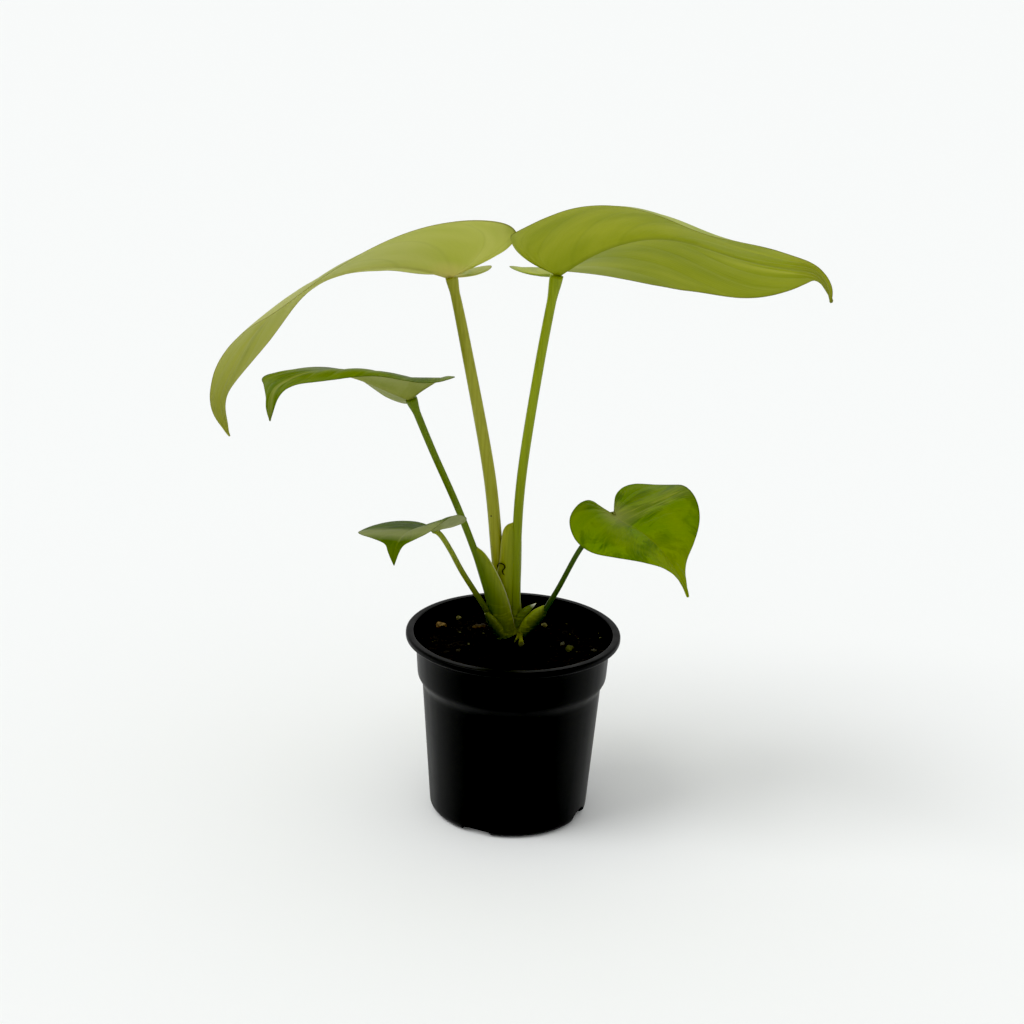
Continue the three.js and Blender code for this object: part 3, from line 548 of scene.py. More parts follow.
# What the leaves share. Lengths are mm and angles degrees. Pairs are the left half and the right one, and
# upper and lower are the dark, light and gold tints of the two faces.
commonLeaf = {
    "slot": "leaf_green", "lobes": (1, 1), "marks": [],
    "mottleSize": 1, "mottleRange": (0.35, 0.7), "blotchRange": (0.38, 0.62), "lineRange": (0.5, 0.72),
    "lineShow": 0.3, "marginFrom": 0.97, "marginShow": 0.6, "grainScale": 900, "bump": 0.16,
    "bumpDepth": 0.0003, "roughAbove": 0.42, "roughBelow": 0.5, "roughSpread": 0.16, "glow": 0.2,
}
leaves = {
    "upper_left": {
        "junction": (-36, 14, 278.5), "length": 174, "outline": ("slim", "long"), "half": (55, 51),
        "heading": [186, 173, 164], "pitch": [16, 17.4, -11.9, -38.5, -61.3, -76.6],
        "roll": [25.3, 31.8, 17.4, 8.1, 15.9, 5.2], "tipDrop": 40, "dropStart": 0.83,
        "fold": ([49.8, 11.5, -3.8, 2.3], [62.6, 18.3, 9.1, 2]), "curl": ([-26.6, -13.9], [-28.7, -14.7]),
        "veinCount": 10, "sweep": 0.14, "pleat": 0.9, "waviness": 0.5, "seed": 3, "slot": "leaf_gold",
        "upper": ("869428", "a4ae3c", "b4b44c"), "lower": ("ccd254", "dee074", "e4e286"),
        "veinTint": "b4ba4a", "veinShow": 0.2, "ribTint": "d4d46a", "midribWidth": 2.4,
        "patchTint": "ecd984", "patchShow": 0.6, "patchSize": 13, "marginTint": "7c7430",
        "tipTint": "a2a63a", "tipShow": 0.85, "tipRange": (0.25, 0.9),
        "marks": [{"kind": "streaks", "centre": 0.705, "spread": 0.042, "share": 0.9, "out": (-0.15, -0.3),
                   "tint": "76860a"}],
        "roughBelow": 0.56, "gloss": 0.2, "glow": 0.22,
    },
    "upper_right": {
        "junction": (15.5, 6, 283), "length": 151, "outline": ("long", "long"), "half": (51, 56),
        "lobes": (1, 0.8), "heading": [18, -19, -32], "pitch": [2, 34.6, 18.5, -10.4, -1.9, 5.7],
        "roll": [-27.5, -37.2, -36.4, -41.4], "tipDrop": 75, "dropStart": 0.84,
        "fold": ([64.2, 16.9, -4.8, -8.9], [52.8, 16.2, 0, 1.9]), "curl": ([-27.7, -22.6], [-46.3, -29.9]),
        "veinCount": 9, "sweep": 0.26, "pleat": 1, "waviness": 0.9, "seed": 11, "slot": "leaf_gold",
        "upper": ("7e9618", "aab838", "c0c450"), "lower": ("96a216", "b8be34", "c2c642"),
        "veinTint": "72840e", "veinShow": 0.16, "ribTint": "8e9828", "midribWidth": 1.8,
        "patchTint": "8c9a10", "patchShow": 0.5, "patchSize": 30, "marginTint": "66621a",
        "tipTint": "7c801c", "tipShow": 0.8, "tipRange": (0.8, 1),
        # This dark streaked band is painted shade in the folds along the side veins.
        "marks": [{"kind": "streaks", "centre": 0.49, "spread": 0.06, "share": 0.6, "out": (0.2, 0.4),
                   "tint": "7c8c06"}],
        "roughBelow": 0.54, "gloss": 0.2, "glow": 0.22,
    },
    "middle_left": {
        "junction": (-53.5, -14, 224), "length": 96, "outline": ("blunt", "full"), "half": (38, 39),
        "lobes": (0.2, 1), "heading": [208, 213, 236], "pitch": [17, 24.7, 25.8, 10.7, -13, -21.5],
        "roll": [38.2, 16.8, 11.3, -2.2], "tipDrop": 63, "dropStart": 0.78,
        "fold": ([42.6, 23.2, 6.5, -14.5], [18.8, 16.5, 2.8, -2.9]), "curl": ([-55.9, -13], [-1.5, -16.8]),
        "veinCount": 9, "sweep": 0.16, "pleat": 1.2, "waviness": 0.35, "seed": 5,
        "mottleSize": 1.1, "mottleRange": (0.35, 0.68), "lineShow": 0.5,
        "upper": ("486002", "647a0c", "80901a"), "lower": ("86923a", "9fa556", "acb066"),
        "veinTint": "8e983c", "veinShow": 0.3, "ribTint": "9ca24a", "midribWidth": 1.8,
        "patchTint": "8c9430", "patchShow": 0.5, "patchSize": 9, "marginTint": "3c4610",
        "tipTint": "4a5e06", "tipShow": 0.5, "tipRange": (0.6, 1), "roughAbove": 0.4, "gloss": 0.12,
    },
    "small_left": {
        "junction": (-40, -22, 159.5), "length": 48, "outline": ("blunt", "blunt"), "half": (21, 32),
        "heading": [210, 242, 260], "pitch": [18, 21.5, 10.7, 1, -22.8, -66.1],
        "roll": [4.1, 5, -6.1], "tipDrop": 32, "dropStart": 0.78,
        "fold": ([29.4, 22.3, 10.1], [3, -2.5, -0.8]), "curl": ([6.6, -16.2], [-7.1, -10.7]),
        "veinCount": 8, "sweep": 0.14, "pleat": 0.7, "waviness": 0.2, "seed": 8,
        "mottleSize": 1.2, "mottleRange": (0.35, 0.68), "lineShow": 0.4,
        # The pale greyish lower tints are partly the underside's own colour and partly a painted sheen.
        "upper": ("3e5402", "506a04", "5e7408"), "lower": ("8e9852", "b2b67c", "b8bc88"),
        "veinTint": "6c7e1c", "veinShow": 0.2, "ribTint": "76862a", "midribWidth": 0.8,
        "patchTint": "566c0c", "patchShow": 0.3, "patchSize": 8, "marginTint": "4c5216",
        "tipTint": "56690a", "tipShow": 0.9, "tipRange": (0.7, 0.84),
        # Both bands are painted sheen: a pale band across the middle of the blade and a pale rim on the
        # left lobe.
        "marks": [{"kind": "band", "centre": 0.54, "spread": 0.2, "share": 0.85, "out": (-2, -1),
                   "tint": "989f66"},
                  {"kind": "band", "centre": 0.05, "spread": 0.24, "share": 0.7, "out": (0.2, 0.4),
                   "tint": "a0a678"}],
        "roughAbove": 0.45, "gloss": 0.02,
    },
    "lower_right": {
        "junction": (48, -14, 167), "length": 59.5, "outline": ("broad", "broad"), "half": (41, 33.5),
        "heading": [-38, -43, -28], "pitch": [-60, -23.4, -9.9, -30.1, -49.8, -62.6],
        "roll": [-7.6, 8.5, -9.2], "tipDrop": 0, "dropStart": 0.8,
        "fold": ([6.3, 9.8, 3.3], [19.7, 11.5, 15.1]), "curl": ([5.3, 10.1], [-37.3, -13.5]),
        "veinCount": 11, "sweep": 0.12, "pleat": 0.9, "waviness": 0.3, "seed": 21,
        "mottleSize": 0.8, "mottleRange": (0.46, 0.54), "lineShow": 0.45,
        "upper": ("466400", "688402", "7e900a"), "lower": ("748424", "a0a640", "a4a84a"),
        "veinTint": "74860e", "veinShow": 0.2, "ribTint": "72820e", "midribWidth": 0.8,
        # The pale patch round the junction is a painted sheen.
        "patchTint": "94984e", "patchShow": 0.75, "patchSize": 13, "marginTint": "3c4804",
        "tipTint": "84920a", "tipShow": 0.75, "tipRange": (0.5, 0.8),
        # The pale streaked band along the side veins is a painted sheen.
        "marks": [{"kind": "streaks", "centre": 0.4, "spread": 0.075, "share": 0.75, "out": (0.05, 0.2),
                   "tint": "9aa236"}],
        "gloss": 0.08, "glow": 0.15,
    },
}
for name, ownLeaf in leaves.items():
    leaf = {**commonLeaf, **ownLeaf}
    piece = addLeaf("leafBlade_" + name, leaf)
    settle(piece, leafMaterial("leaf_" + name, leaf), leaf["slot"], "leaf_" + name)
print("leaf blades done")


# Stalks

def sweep(path, steps, section):
    # Rings across a path: section(t) gives how far each point lies sideways and behind the middle.
    t = np.linspace(0, 1, steps)
    centre = pointsThrough(path, t)
    along = pointsThrough(path, np.minimum(t + 1e-3, 1)) - pointsThrough(path, np.maximum(t - 1e-3, 0))
    along /= np.linalg.norm(along, axis=1, keepdims=True)
    depth = np.array([0.0, 1.0, 0.0]) - along * along[:, [1]]
    depth /= np.linalg.norm(depth, axis=1, keepdims=True)
    across = np.cross(depth, along)
    sideways, back = section(t[:, None])
    return centre[:, None] + across[:, None] * sideways[..., None] + depth[:, None] * back[..., None]


def closedTube(rings, *columns):
    # A stack of rings closed by a fan at each end, with any values that go with the points.
    steps, sides = rings.shape[:2]
    points = np.concatenate([rings.reshape(-1, 3), [rings[0].mean(0)], [rings[-1].mean(0)]])
    index = np.arange(sides)
    after = np.roll(index, -1)
    last = (steps - 1) * sides
    foot = np.stack([np.full(sides, steps * sides), after, index], -1)
    top = np.stack([np.full(sides, steps * sides + 1), index + last, after + last], -1)
    faces = np.concatenate([gridFaces(steps, sides, wrap=True), foot, top])
    values = [np.concatenate([c.reshape(-1), [c[0].mean(), c[-1].mean()]]) for c in columns]
    return (points, faces, *values)


def fullTurn(sides):
    # Angles once round, as a row.
    return np.linspace(0, 2 * np.pi, sides, endpoint=False)[None]


stalkShape = {
    "steps": 150, "sides": 48,
    "neckFrom": 0.94,                       # share of the length where the stalk widens into its blade
    "sheathSteps": 90, "sheathSides": 40,
    "edgeWall": 0.22, "extraWall": 1.3,     # a sheath's wall at its edges, and what it gains by the stalk
}
stalkSkin = {                               # heights are mm above the pot's foot
    "soilLine": 100, "wrinkled": (116, 100), "shaded": (124, 98),
    "streakStretch": (900, 900, 14), "ringStretch": (140, 140, 700), "grainScale": 700,
    "wrinkleTint": "b0b64a", "shadeTint": "3c4a10", "shadeShow": 0.55,
    "bump": 0.25, "bumpDepth": 0.0004, "gloss": 0.2,
}
stalkTints = dict.fromkeys(("Foot", "Neck", "Wing", "Streak", "Scar", "Edge"), "Color")

def petioleRings(stalk):
    # Round stalk with nine faint ribs that wind a little and five that run straight, wider at its neck.
    angle = fullTurn(stalkShape["sides"])

    def section(t):
        ribs = 1 + 0.012 * np.cos(9 * angle + 5 * t) + 0.008 * np.cos(5 * angle)
        neck = 1 + stalk["flare"] * smoothStep(stalkShape["neckFrom"], 1, t)
        radius = through(stalk["radius"], t) * ribs * neck
        return radius * np.cos(angle), radius * np.sin(angle)
    return sweep(stalk["path"], stalkShape["steps"], section)


def sheathRings(sheath):
    # A clasping sheath: the outer wall runs round an ellipse from one free edge to the other and the inner
    # wall comes back, thick by the stalk and thin at the free edges. The second value is 0 by the stalk and
    # 1 at the free edges.
    sides = stalkShape["sheathSides"]
    turn = np.linspace(0, 1, sides)
    share = np.concatenate([turn, turn[::-1]])[None]
    inner = np.repeat([0.0, 1.0], sides)[None]
    low, high = np.radians(sheath["edges"])
    angle = low + (high - low) * share

    def section(t):
        wall = stalkShape["edgeWall"] + stalkShape["extraWall"] * np.sin(np.pi * share) ** 0.8
        wide = through(sheath["halfWidth"], t) - inner * wall
        deep = through(sheath["halfDepth"], t) - inner * wall
        return wide * np.cos(angle), deep * np.sin(angle)
    rings = sweep(sheath["path"], stalkShape["sheathSteps"], section)
    return rings, np.broadcast_to(1 - np.sin(np.pi * share), rings.shape[:2])


def addStalk(name, stalk):
    # The petiole, and the sheath as a second closed surface. Wing is 0 on the stalk and 1 at a free edge.
    parts = [closedTube(petioleRings(stalk), np.zeros((stalkShape["steps"], stalkShape["sides"])))]
    if "sheath" in stalk:
        parts.append(closedTube(*sheathRings(stalk["sheath"])))
    points, faces, wing = joined(parts)
    return addMesh(name, points, faces, {"wing": wing})


def makeStalkSkin():
    # The tint goes from the foot's to the neck's with height, and to the wing's out on a sheath. Streaks
    # lie over it, then scars and pale wrinkles round the foot, the free edges, and the shade near the soil.
    skin = stalkSkin
    group, given = newGroup(
        "stalkSkin",
        {"Place": "Vector", "Outwards": "Float", "Pale Height": "Float", **stalkTints},
        {"Tint": "Color", "Roughness": "Float", "Relief": "Float"})
    where, out = given["Place"], given["Outwards"]
    height = node(group, "SeparateXYZ", {0: where}).outputs["Z"]
    streaks = grain(group, where, 1, 4, skin["streakStretch"])
    rings = grain(group, where, 1, 4, skin["ringStretch"], warp=1.2)
    fine = grain(group, where, skin["grainScale"], 3)
    foot = remap(group, height, *np.multiply(skin["wrinkled"], mm))
    shade = remap(group, height, *np.multiply(skin["shaded"], mm), 0, skin["shadeShow"])
    scars = times(group, remap(group, rings, 0.52, 0.64), foot)
    wrinkles = times(group, remap(group, rings, 0.44, 0.36), foot)
    rise = remap(group, height, skin["soilLine"] * mm, given["Pale Height"])
    tint = blend(group, rise, given["Foot"], given["Neck"])
    tint = blend(group, remap(group, out, 0.05, 0.75), tint, given["Wing"])
    tint = blend(group, remap(group, streaks, 0.42, 0.72, 0, 0.45), tint, given["Streak"])
    tint = blend(group, times(group, scars, 0.7), tint, given["Scar"])
    tint = paint(group, tint, times(group, wrinkles, 0.5), skin["wrinkleTint"])
    tint = blend(group, remap(group, out, 0.84, 0.97, 0, 0.8), tint, given["Edge"])
    tint = blend(group, shade, tint, colour(skin["shadeTint"]), "MULTIPLY")
    relief = plus(group, streaks, times(group, fine, 0.3))
    relief = plus(group, relief, times(group, times(group, rings, foot), 3))
    rough = remap(group, fine, 0.3, 0.7, 0.38, 0.52)
    return closeGroup(group, {"Tint": tint, "Roughness": rough, "Relief": relief})


stalkSkinGroup = makeStalkSkin()


def stalkMaterial(name, look):
    # The stalk skin in this piece's own tints, a little light carried inside the flesh.
    material, tree, shader = newMaterial(name)
    tints = {label: colour(look[label.lower()]) for label in stalkTints}
    skin = node(tree, "Group", {
        "Place": objectPlace(tree), "Outwards": attributeValue(tree, "wing"),
        "Pale Height": look["paleHeight"] * mm, **tints}, node_tree=stalkSkinGroup).outputs
    finishShader(tree, shader, skin["Tint"], skin["Roughness"], skin["Relief"],
                 stalkSkin["bump"], stalkSkin["bumpDepth"], stalkSkin["gloss"])
    fill(tree, shader, {
        "Subsurface Weight": 0.3, "Subsurface Radius": (1, 1, 0.3), "Subsurface Scale": 0.002})
    return material


stalks = {      # paths and radii in mm, sheath edges in degrees round the stalk
    "upper_left": {
        "path": [(-3.5, 7, 86), (-5.5, 7.3, 103), (-9.3, 8.5, 135), (-15.1, 10.2, 181), (-28.8, 12.8, 247),
                 (-36, 14, 278.2)],
        "radius": [3.4, 3.3, 3.2, 3.1, 2.7, 2.3], "flare": 0.35, "slot": "stalk_gold",
        "foot": "969818", "neck": "9c9d36", "streak": "767812", "wing": "c4c070", "edge": "c4c070",
        "scar": "5c5c0c", "paleHeight": 200,
    },
    "upper_right": {
        "path": [(1, 3.8, 86), (0.8, 3.5, 106), (0.3, 4.3, 147), (2, 5.5, 183), (8.4, 5.8, 236),
                 (15.4, 6, 282.6)],
        "radius": [2.7, 2.6, 2.4, 2.4, 2.35, 2.3], "flare": 0.45, "slot": "stalk_gold",
        "foot": "6e7c02", "neck": "8c9a14", "streak": "586802", "wing": "989b22", "edge": "a8a858",
        "scar": "5c6008", "paleHeight": 230,
        "sheath": {
            "path": [(-1.6, 6.5, 86), (-2.6, 6.5, 101), (-4.2, 6.3, 116), (-2.9, 6, 131), (-2.5, 5.8, 145),
                     (-2.1, 5.6, 151), (-0.8, 5.3, 154.5)],
            "halfWidth": [6.4, 7, 7.4, 6, 5.3, 4.4, 1.4], "halfDepth": [5, 5.2, 5, 4.2, 3.6, 3, 1.4],
            "edges": (-165, 120),
        },
    },
    "middle_left": {
        "path": [(-4.5, 1.5, 86), (-10.6, -0.3, 108), (-17.9, -3.3, 134), (-29.3, -6.9, 165),
                 (-42.9, -10.8, 197), (-53.5, -14, 223.6)],
        "radius": [2.1, 1.9, 1.8, 1.75, 1.75, 1.9], "flare": 0.55, "slot": "stalk_green",
        "foot": "4c6000", "neck": "62760a", "streak": "465802", "wing": "828c10", "edge": "d0d0a4",
        "scar": "5e6404", "paleHeight": 170,
        "sheath": {
            "path": [(-2.4, 2.6, 86), (-5.5, 2.2, 101), (-9.4, 1, 117), (-14.2, -0.4, 130),
                     (-18, -2.6, 139), (-20.6, -4.3, 144)],
            "halfWidth": [6, 6.3, 5.7, 4.7, 3.4, 1.5], "halfDepth": [5.2, 5.5, 5, 4.4, 3, 1.5],
            "edges": (60, 345),
        },
    },
    "small_left": {
        "path": [(-4, 1, 87), (-13, -1.8, 107.6), (-20.3, -6.6, 121.5), (-26.8, -11.8, 134),
                 (-32.5, -16.6, 146.6), (-36.9, -19.9, 155), (-40.4, -22, 159.2)],
        "radius": [1.7, 1.6, 1.45, 1.4, 1.35, 1.35, 1.4], "flare": 0.4, "slot": "stalk_green",
        "foot": "202c02", "neck": "828c24", "streak": "405202", "wing": "76820e", "edge": "8a9240",
        "scar": "4c5406", "paleHeight": 150,
        "sheath": {
            "path": [(-4, 0.4, 87), (-6.9, -1.8, 97), (-10.8, -3.2, 104), (-14, -4.2, 109)],
            "halfWidth": [3.2, 3.3, 2.7, 1.3], "halfDepth": [2.8, 2.7, 2.2, 1.3], "edges": (60, 345),
        },
    },
    "lower_right": {
        "path": [(2, 3, 87), (12.5, 0.1, 104.2), (21.5, -3.8, 122.2), (32, -9.4, 146.7), (40.5, -12, 158),
                 (47.8, -13.8, 166.4)],
        "radius": [1.8, 1.5, 1.35, 1.3, 1.3, 1.4], "flare": 0.4, "slot": "stalk_green",
        "foot": "263606", "neck": "364e04", "streak": "283c04", "wing": "a2b018", "edge": "989c48",
        "scar": "5c6608", "paleHeight": 140,
        "sheath": {
            "path": [(2.5, 2.2, 87), (5.4, 1.2, 96.5), (7.4, 0.6, 100.5), (10, 0.2, 104.5),
                     (13.6, -0.6, 109), (15.6, -1, 112)],
            "halfWidth": [3, 3.4, 4.1, 4.2, 3.4, 1.5], "halfDepth": [2.8, 3, 3, 2.8, 2.2, 1.3],
            "edges": (-165, 120),
        },
    },
}
for name, stalk in stalks.items():
    piece = addStalk("leafStalk_" + name, stalk)
    settle(piece, stalkMaterial("stalk_" + name, stalk), stalk["slot"], "stalk_" + name)
print("stalks and sheaths done")


# Crown, side bud and root stub
commonTissue = {"streak": "5e680e", "scar": "5a5810", "paleHeight": 112}
crownParts = {          # the wing tint is the tip's, and comes in from tipFrom on
    "crown": {
        "stems": [{"path": [(0, 4, 62), (0, 4, 74), (-0.4, 4, 86), (-0.4, 4, 96), (-0.4, 4, 101)],
                   "radius": [3.5, 5.4, 6, 5.6, 2.2], "flat": 1}],
        "lumps": 0.04, "foot": "7c8414", "neck": "a0a620", "wing": "a0a620", "tipFrom": 1,
    },
    "side_bud": {
        "stems": [{"path": [(1.2, 2.4, 98), (4, 0.6, 106), (7.4, -0.6, 110.4), (11.2, -1.4, 114)],
                   "radius": [2, 2.3, 1.7, 0.1], "flat": 0.7}],
        "lumps": 0.03, "foot": "687a0e", "neck": "5e700e", "wing": "e4e4d4", "tipFrom": 0.74,
    },
    "root_stub": {
        "stems": [{"path": [(2.8, 1, 96), (3.6, -2.6, 97), (4, -7, 96), (4.2, -10.4, 95.2),
                            (4.2, -13, 94.8)],
                   "radius": [1.3, 1.1, 0.9, 1.4, 0.9], "flat": 1},
                  {"path": [(3.4, -1.6, 97), (2.2, -5, 96.2), (0.6, -8, 94.6)],
                   "radius": [1, 0.75, 0.4], "flat": 1}],
        "lumps": 0.2, "foot": "9a9c28", "neck": "9a9e34", "wing": "4c4c1c", "tipFrom": 0.6,
    },
}


def lumpyStem(stem, lumps, tipFrom, steps=60, sides=40):
    # Round or flattened stem whose radius swells and shrinks with smooth noise. The value is 1 at its tip.
    angle = fullTurn(sides)

    def section(t):
        bumps = latticeNoise(6 * np.cos(angle) + 0 * t, 6 * np.sin(angle) + 30 * t, 2.2, 4)
        radius = through(stem["radius"], t) * (1 + lumps * bumps)
        return radius * np.cos(angle), radius * stem["flat"] * np.sin(angle)
    tip = smoothStep(tipFrom, 1.001, np.linspace(0, 1, steps))[:, None] * np.ones((steps, sides))
    return closedTube(sweep(stem["path"], steps, section), tip)


for name, part in crownParts.items():
    stems = [lumpyStem(stem, part["lumps"], part["tipFrom"]) for stem in part["stems"]]
    points, faces, wing = joined(stems)
    piece = addMesh("plant_" + name, points, faces, {"wing": wing})
    look = {**commonTissue, **part, "edge": part["wing"]}
    settle(piece, stalkMaterial("tissue_" + name, look), "crown_tissue", name)
print("crown done")


# A dried fibre hooked between two stalks, and dark specks on a stalk and a sheath
fibre = {
    "hook": [(-9.2, 4.4, 130.6), (-8.7, 3.7, 132.6), (-7.4, 2.4, 133.6), (-5.9, 1.6, 133.1),
             (-5.4, 1.3, 131.6), (-6.3, 1.6, 130.3), (-6.4, 1.7, 128.9), (-5.4, 1.3, 127.6)],
    "radius": 0.34, "steps": 120, "sides": 16,
    "specks": [(-13, 6.7, 157.4), (-12.2, 6.9, 141)], "speckSize": 0.45,
    "foot": "171006", "neck": "140e06", "wing": "140e06", "edge": "140e06",
    "streak": "0a0603", "scar": "0a0603", "paleHeight": 140,
}


def fibrePiece():
    # A thread with three winding ridges that thins to both ends, and the specks as small balls.
    angle = fullTurn(fibre["sides"])

    def section(t):
        thinning = 0.55 + 0.45 * np.sin(np.pi * t)
        radius = fibre["radius"] * thinning * (1 + 0.2 * np.cos(3 * angle + 20 * t))
        return radius * np.cos(angle), radius * np.sin(angle)
    rings = sweep(fibre["hook"], fibre["steps"], section)
    ball, ballFaces = icosphere(3)
    specks = [(ball * fibre["speckSize"] + np.array(place), ballFaces, np.zeros(len(ball)))
              for place in fibre["specks"]]
    return joined([closedTube(rings, np.zeros(rings.shape[:2])), *specks])


points, faces, wing = fibrePiece()
piece = addMesh("driedFibre", points, faces, {"wing": wing})
settle(piece, stalkMaterial("driedFibre", fibre), "crown_tissue")
print("fibre done")


# Nursery pot
pot = {                 # mm
    "rimRadius": 55, "height": 98, "baseRadius": 41, "wall": 1.3, "lipHeight": 3.4,
    "collarRadius": 49.6, "collarTop": 90, "footRound": 4.4,
    "shoulder": [(45.9, 68.6), (46.15, 70), (46.7, 71.4), (47.7, 73.2), (48.4, 74.6), (48.65, 76)],
    "corner": [(5.3, 0), (2.6, 1), (1.3, 3.5)],     # inside: in from the base radius, up from the floor
    "axisGap": 0.01, "floorMiddle": 20, "longestStep": 4, "segments": 240,
    "sharpAngle": 38,                               # degrees
    "weld": 0.02,
    "notch": {"width": 16.5, "height": 6.6, "inward": 6, "outward": 8, "below": 2, "points": 24,
              "firstAngle": -24, "count": 4},
}


def arc(centre, radius, start, end, count=7):
    # Points on a circle from one angle in degrees to the other.
    angle = np.radians(np.linspace(start, end, count))
    return [(centre[0] + radius * np.cos(a), centre[1] + radius * np.sin(a)) for a in angle]


def potProfile():
    # Radius and height round the wall: out under the floor, up, over the rolled lip and down inside.
    top, rim, base, wall = pot["height"], pot["rimRadius"], pot["baseRadius"], pot["wall"]
    under, foot = top - pot["lipHeight"], pot["footRound"]
    side = pot["shoulder"] + [(pot["collarRadius"], pot["collarTop"])]
    below = [(50, under - 1.4)] + arc((51.2, under - 1), 1, 170, 100, 4)
    outer = arc((rim - 1.2, under + 1.2), 1.2, -90, 0) + arc((rim - 1.1, top - 1.1), 1.1, 0, 90)
    inner = arc((rim - 3.3, top - 0.8), 0.8, 90, 175) + [(rim - 4.6, top - 2.2), (rim - 5.6, top - 5)]
    inside = [(radius - wall, height) for radius, height in reversed(side)]
    floor = [(base - inwards, wall + up) for inwards, up in reversed(pot["corner"])]
    start, end = ([(pot["axisGap"], height), (pot["floorMiddle"], height)] for height in (0, wall))
    return (start + arc((base - foot, foot), foot, -90, 0) + side + below + outer + inner
            + inside + floor + end[::-1])


def refined(profile, longest):
    # The same outline with long straight stretches divided.
    points = [profile[0]]
    for a, b in zip(profile, profile[1:]):
        pieces = max(1, int(np.ceil(np.hypot(b[0] - a[0], b[1] - a[1]) / longest)))
        points += [(a[0] + (b[0] - a[0]) * k / pieces, a[1] + (b[1] - a[1]) * k / pieces)
                   for k in range(1, pieces + 1)]
    return np.array(points)


def turned(profile, segments):
    # Lathe about Z: each profile point becomes a ring.
    angle = fullTurn(segments)
    return np.stack([profile[:, [0]] * np.cos(angle), profile[:, [0]] * np.sin(angle),
                     np.broadcast_to(profile[:, [1]], (len(profile), segments))], -1)


def notchCutter(angle):
    # Half an ellipse on two straight legs, drawn on the wall and run inwards through the bottom corner.
    notch = pot["notch"]
    halfWidth, below = notch["width"] / 2, -notch["below"]
    turn = np.linspace(0, np.pi, notch["points"])
    arch = np.concatenate([[(halfWidth, below)],
                           np.stack([halfWidth * np.cos(turn), notch["height"] * np.sin(turn)], -1),
                           [(-halfWidth, below)]])
    ends = (pot["baseRadius"] - notch["inward"], pot["baseRadius"] + notch["outward"])
    rings = np.stack([np.stack([np.full(len(arch), end), arch[:, 0], arch[:, 1]], -1) for end in ends])
    turnBy = np.array([[np.cos(angle), np.sin(angle), 0], [-np.sin(angle), np.cos(angle), 0], [0, 0, 1]])
    return rings @ turnBy


def weldShut(mesh):
    # The cuts leave slivers, which are merged away, and flat faces are split into triangles again.
    shell = bmesh.new()
    shell.from_mesh(mesh)
    bmesh.ops.remove_doubles(shell, verts=shell.verts, dist=pot["weld"] * mm)
    bmesh.ops.triangulate(shell, faces=shell.faces[:], ngon_method="EAR_CLIP")
    bmesh.ops.dissolve_degenerate(shell, edges=shell.edges[:], dist=pot["weld"] * mm)
    bmesh.ops.triangulate(shell, faces=shell.faces[:])
    shell.to_mesh(mesh)
    shell.free()


def addPot():
    # The turned wall less the notches, with smooth shading up to the sharp angle.
    points, faces = closedTube(turned(refined(potProfile(), pot["longestStep"]), pot["segments"]))
    piece = addMesh("nurseryPot", points, faces[:, ::-1])
    cutters = []
    for k in range(pot["notch"]["count"]):
        angle = np.radians(pot["notch"]["firstAngle"] - 90 + k * 360 / pot["notch"]["count"])
        cutter = addMesh("notchCutter", *closedTube(notchCutter(angle)))
        cut = piece.modifiers.new("notch", "BOOLEAN")
        cut.object, cut.operation, cut.solver = cutter, "DIFFERENCE", "EXACT"
        cutters.append(cutter)
    graph = bpy.context.evaluated_depsgraph_get()
    whole = bpy.data.meshes.new_from_object(piece.evaluated_get(graph))
    piece.modifiers.clear()
    piece.data = whole
    for cutter in cutters:
        bpy.data.objects.remove(cutter)
    weldShut(whole)
    whole.polygons.foreach_set("use_smooth", np.ones(len(whole.polygons), bool))
    whole.set_sharp_from_angle(angle=np.radians(pot["sharpAngle"]))
    return piece


def potMaterial():
    # Near black plastic with a thin uneven dust, faint upright streaks and a fine grain.
    material, tree, shader = newMaterial("blackNurseryPlastic")
    where = objectPlace(tree)
    fine = grain(tree, where, 1400, 2)
    streaks = grain(tree, where, 1, 3, (120, 120, 9))
    dust = remap(tree, grain(tree, where, 55, 6, rough=0.7), 0.55, 0.8, 0, 0.35)
    tint = blend(tree, dust, colour("020202"), colour("0b0b0a"))
    rough = plus(tree, remap(tree, streaks, 0.3, 0.7, 0.3, 0.42), times(tree, dust, 0.3))
    height = plus(tree, times(tree, streaks, 0.6), times(tree, fine, 0.25))
    finishShader(tree, shader, tint, rough, height, strength=0.12, depth=0.0004, gloss=0.07)
    return material


settle(addPot(), potMaterial(), "black_plastic", "nursery_pot")
print("pot done")


# Potting soil
soil = {                # mm
    "level": 91.2, "moundHeight": 4.6, "moundSpread": 15, "moundX": 0, "moundY": 4,
    "gap": 0.4, "floorGap": 0.3, "segments": 300, "rings": 120, "seed": 17,
    "sides": [(45.9, 67.9), (46.75, 71.5), (48.3, 75.5), (49.4, 88)],       # the pot's outside there
    "lumps": [(0.9, 7, 1), (0.7, 3.2, 2), (0.45, 1.5, 3)],                  # height, cell, seed
    "lumpHeight": 0.75, "crumbHeight": 0.2, "crumbCell": 0.7,
    "crumbs": 520, "crumbReach": 46.5, "crumbLength": (0.9, 3.2), "paleLength": (1.1, 2.2),
    "bigEvery": 11, "bigFactor": 1.5, "crumbRise": 0.12,
    "paleBits": [(-46.5, 2.3), (-41.1, -3.8), (-40, -2.6), (-27.4, 8.4), (-27.6, 5), (-15.5, 4.4),
                 (-22.5, -7.3), (15.3, 22.4), (28, 27), (29.5, 11.2), (32.6, -10.4), (33.6, 7.5),
                 (44.6, 17), (45.2, 9), (39.3, -12)],                       # as photographed
}


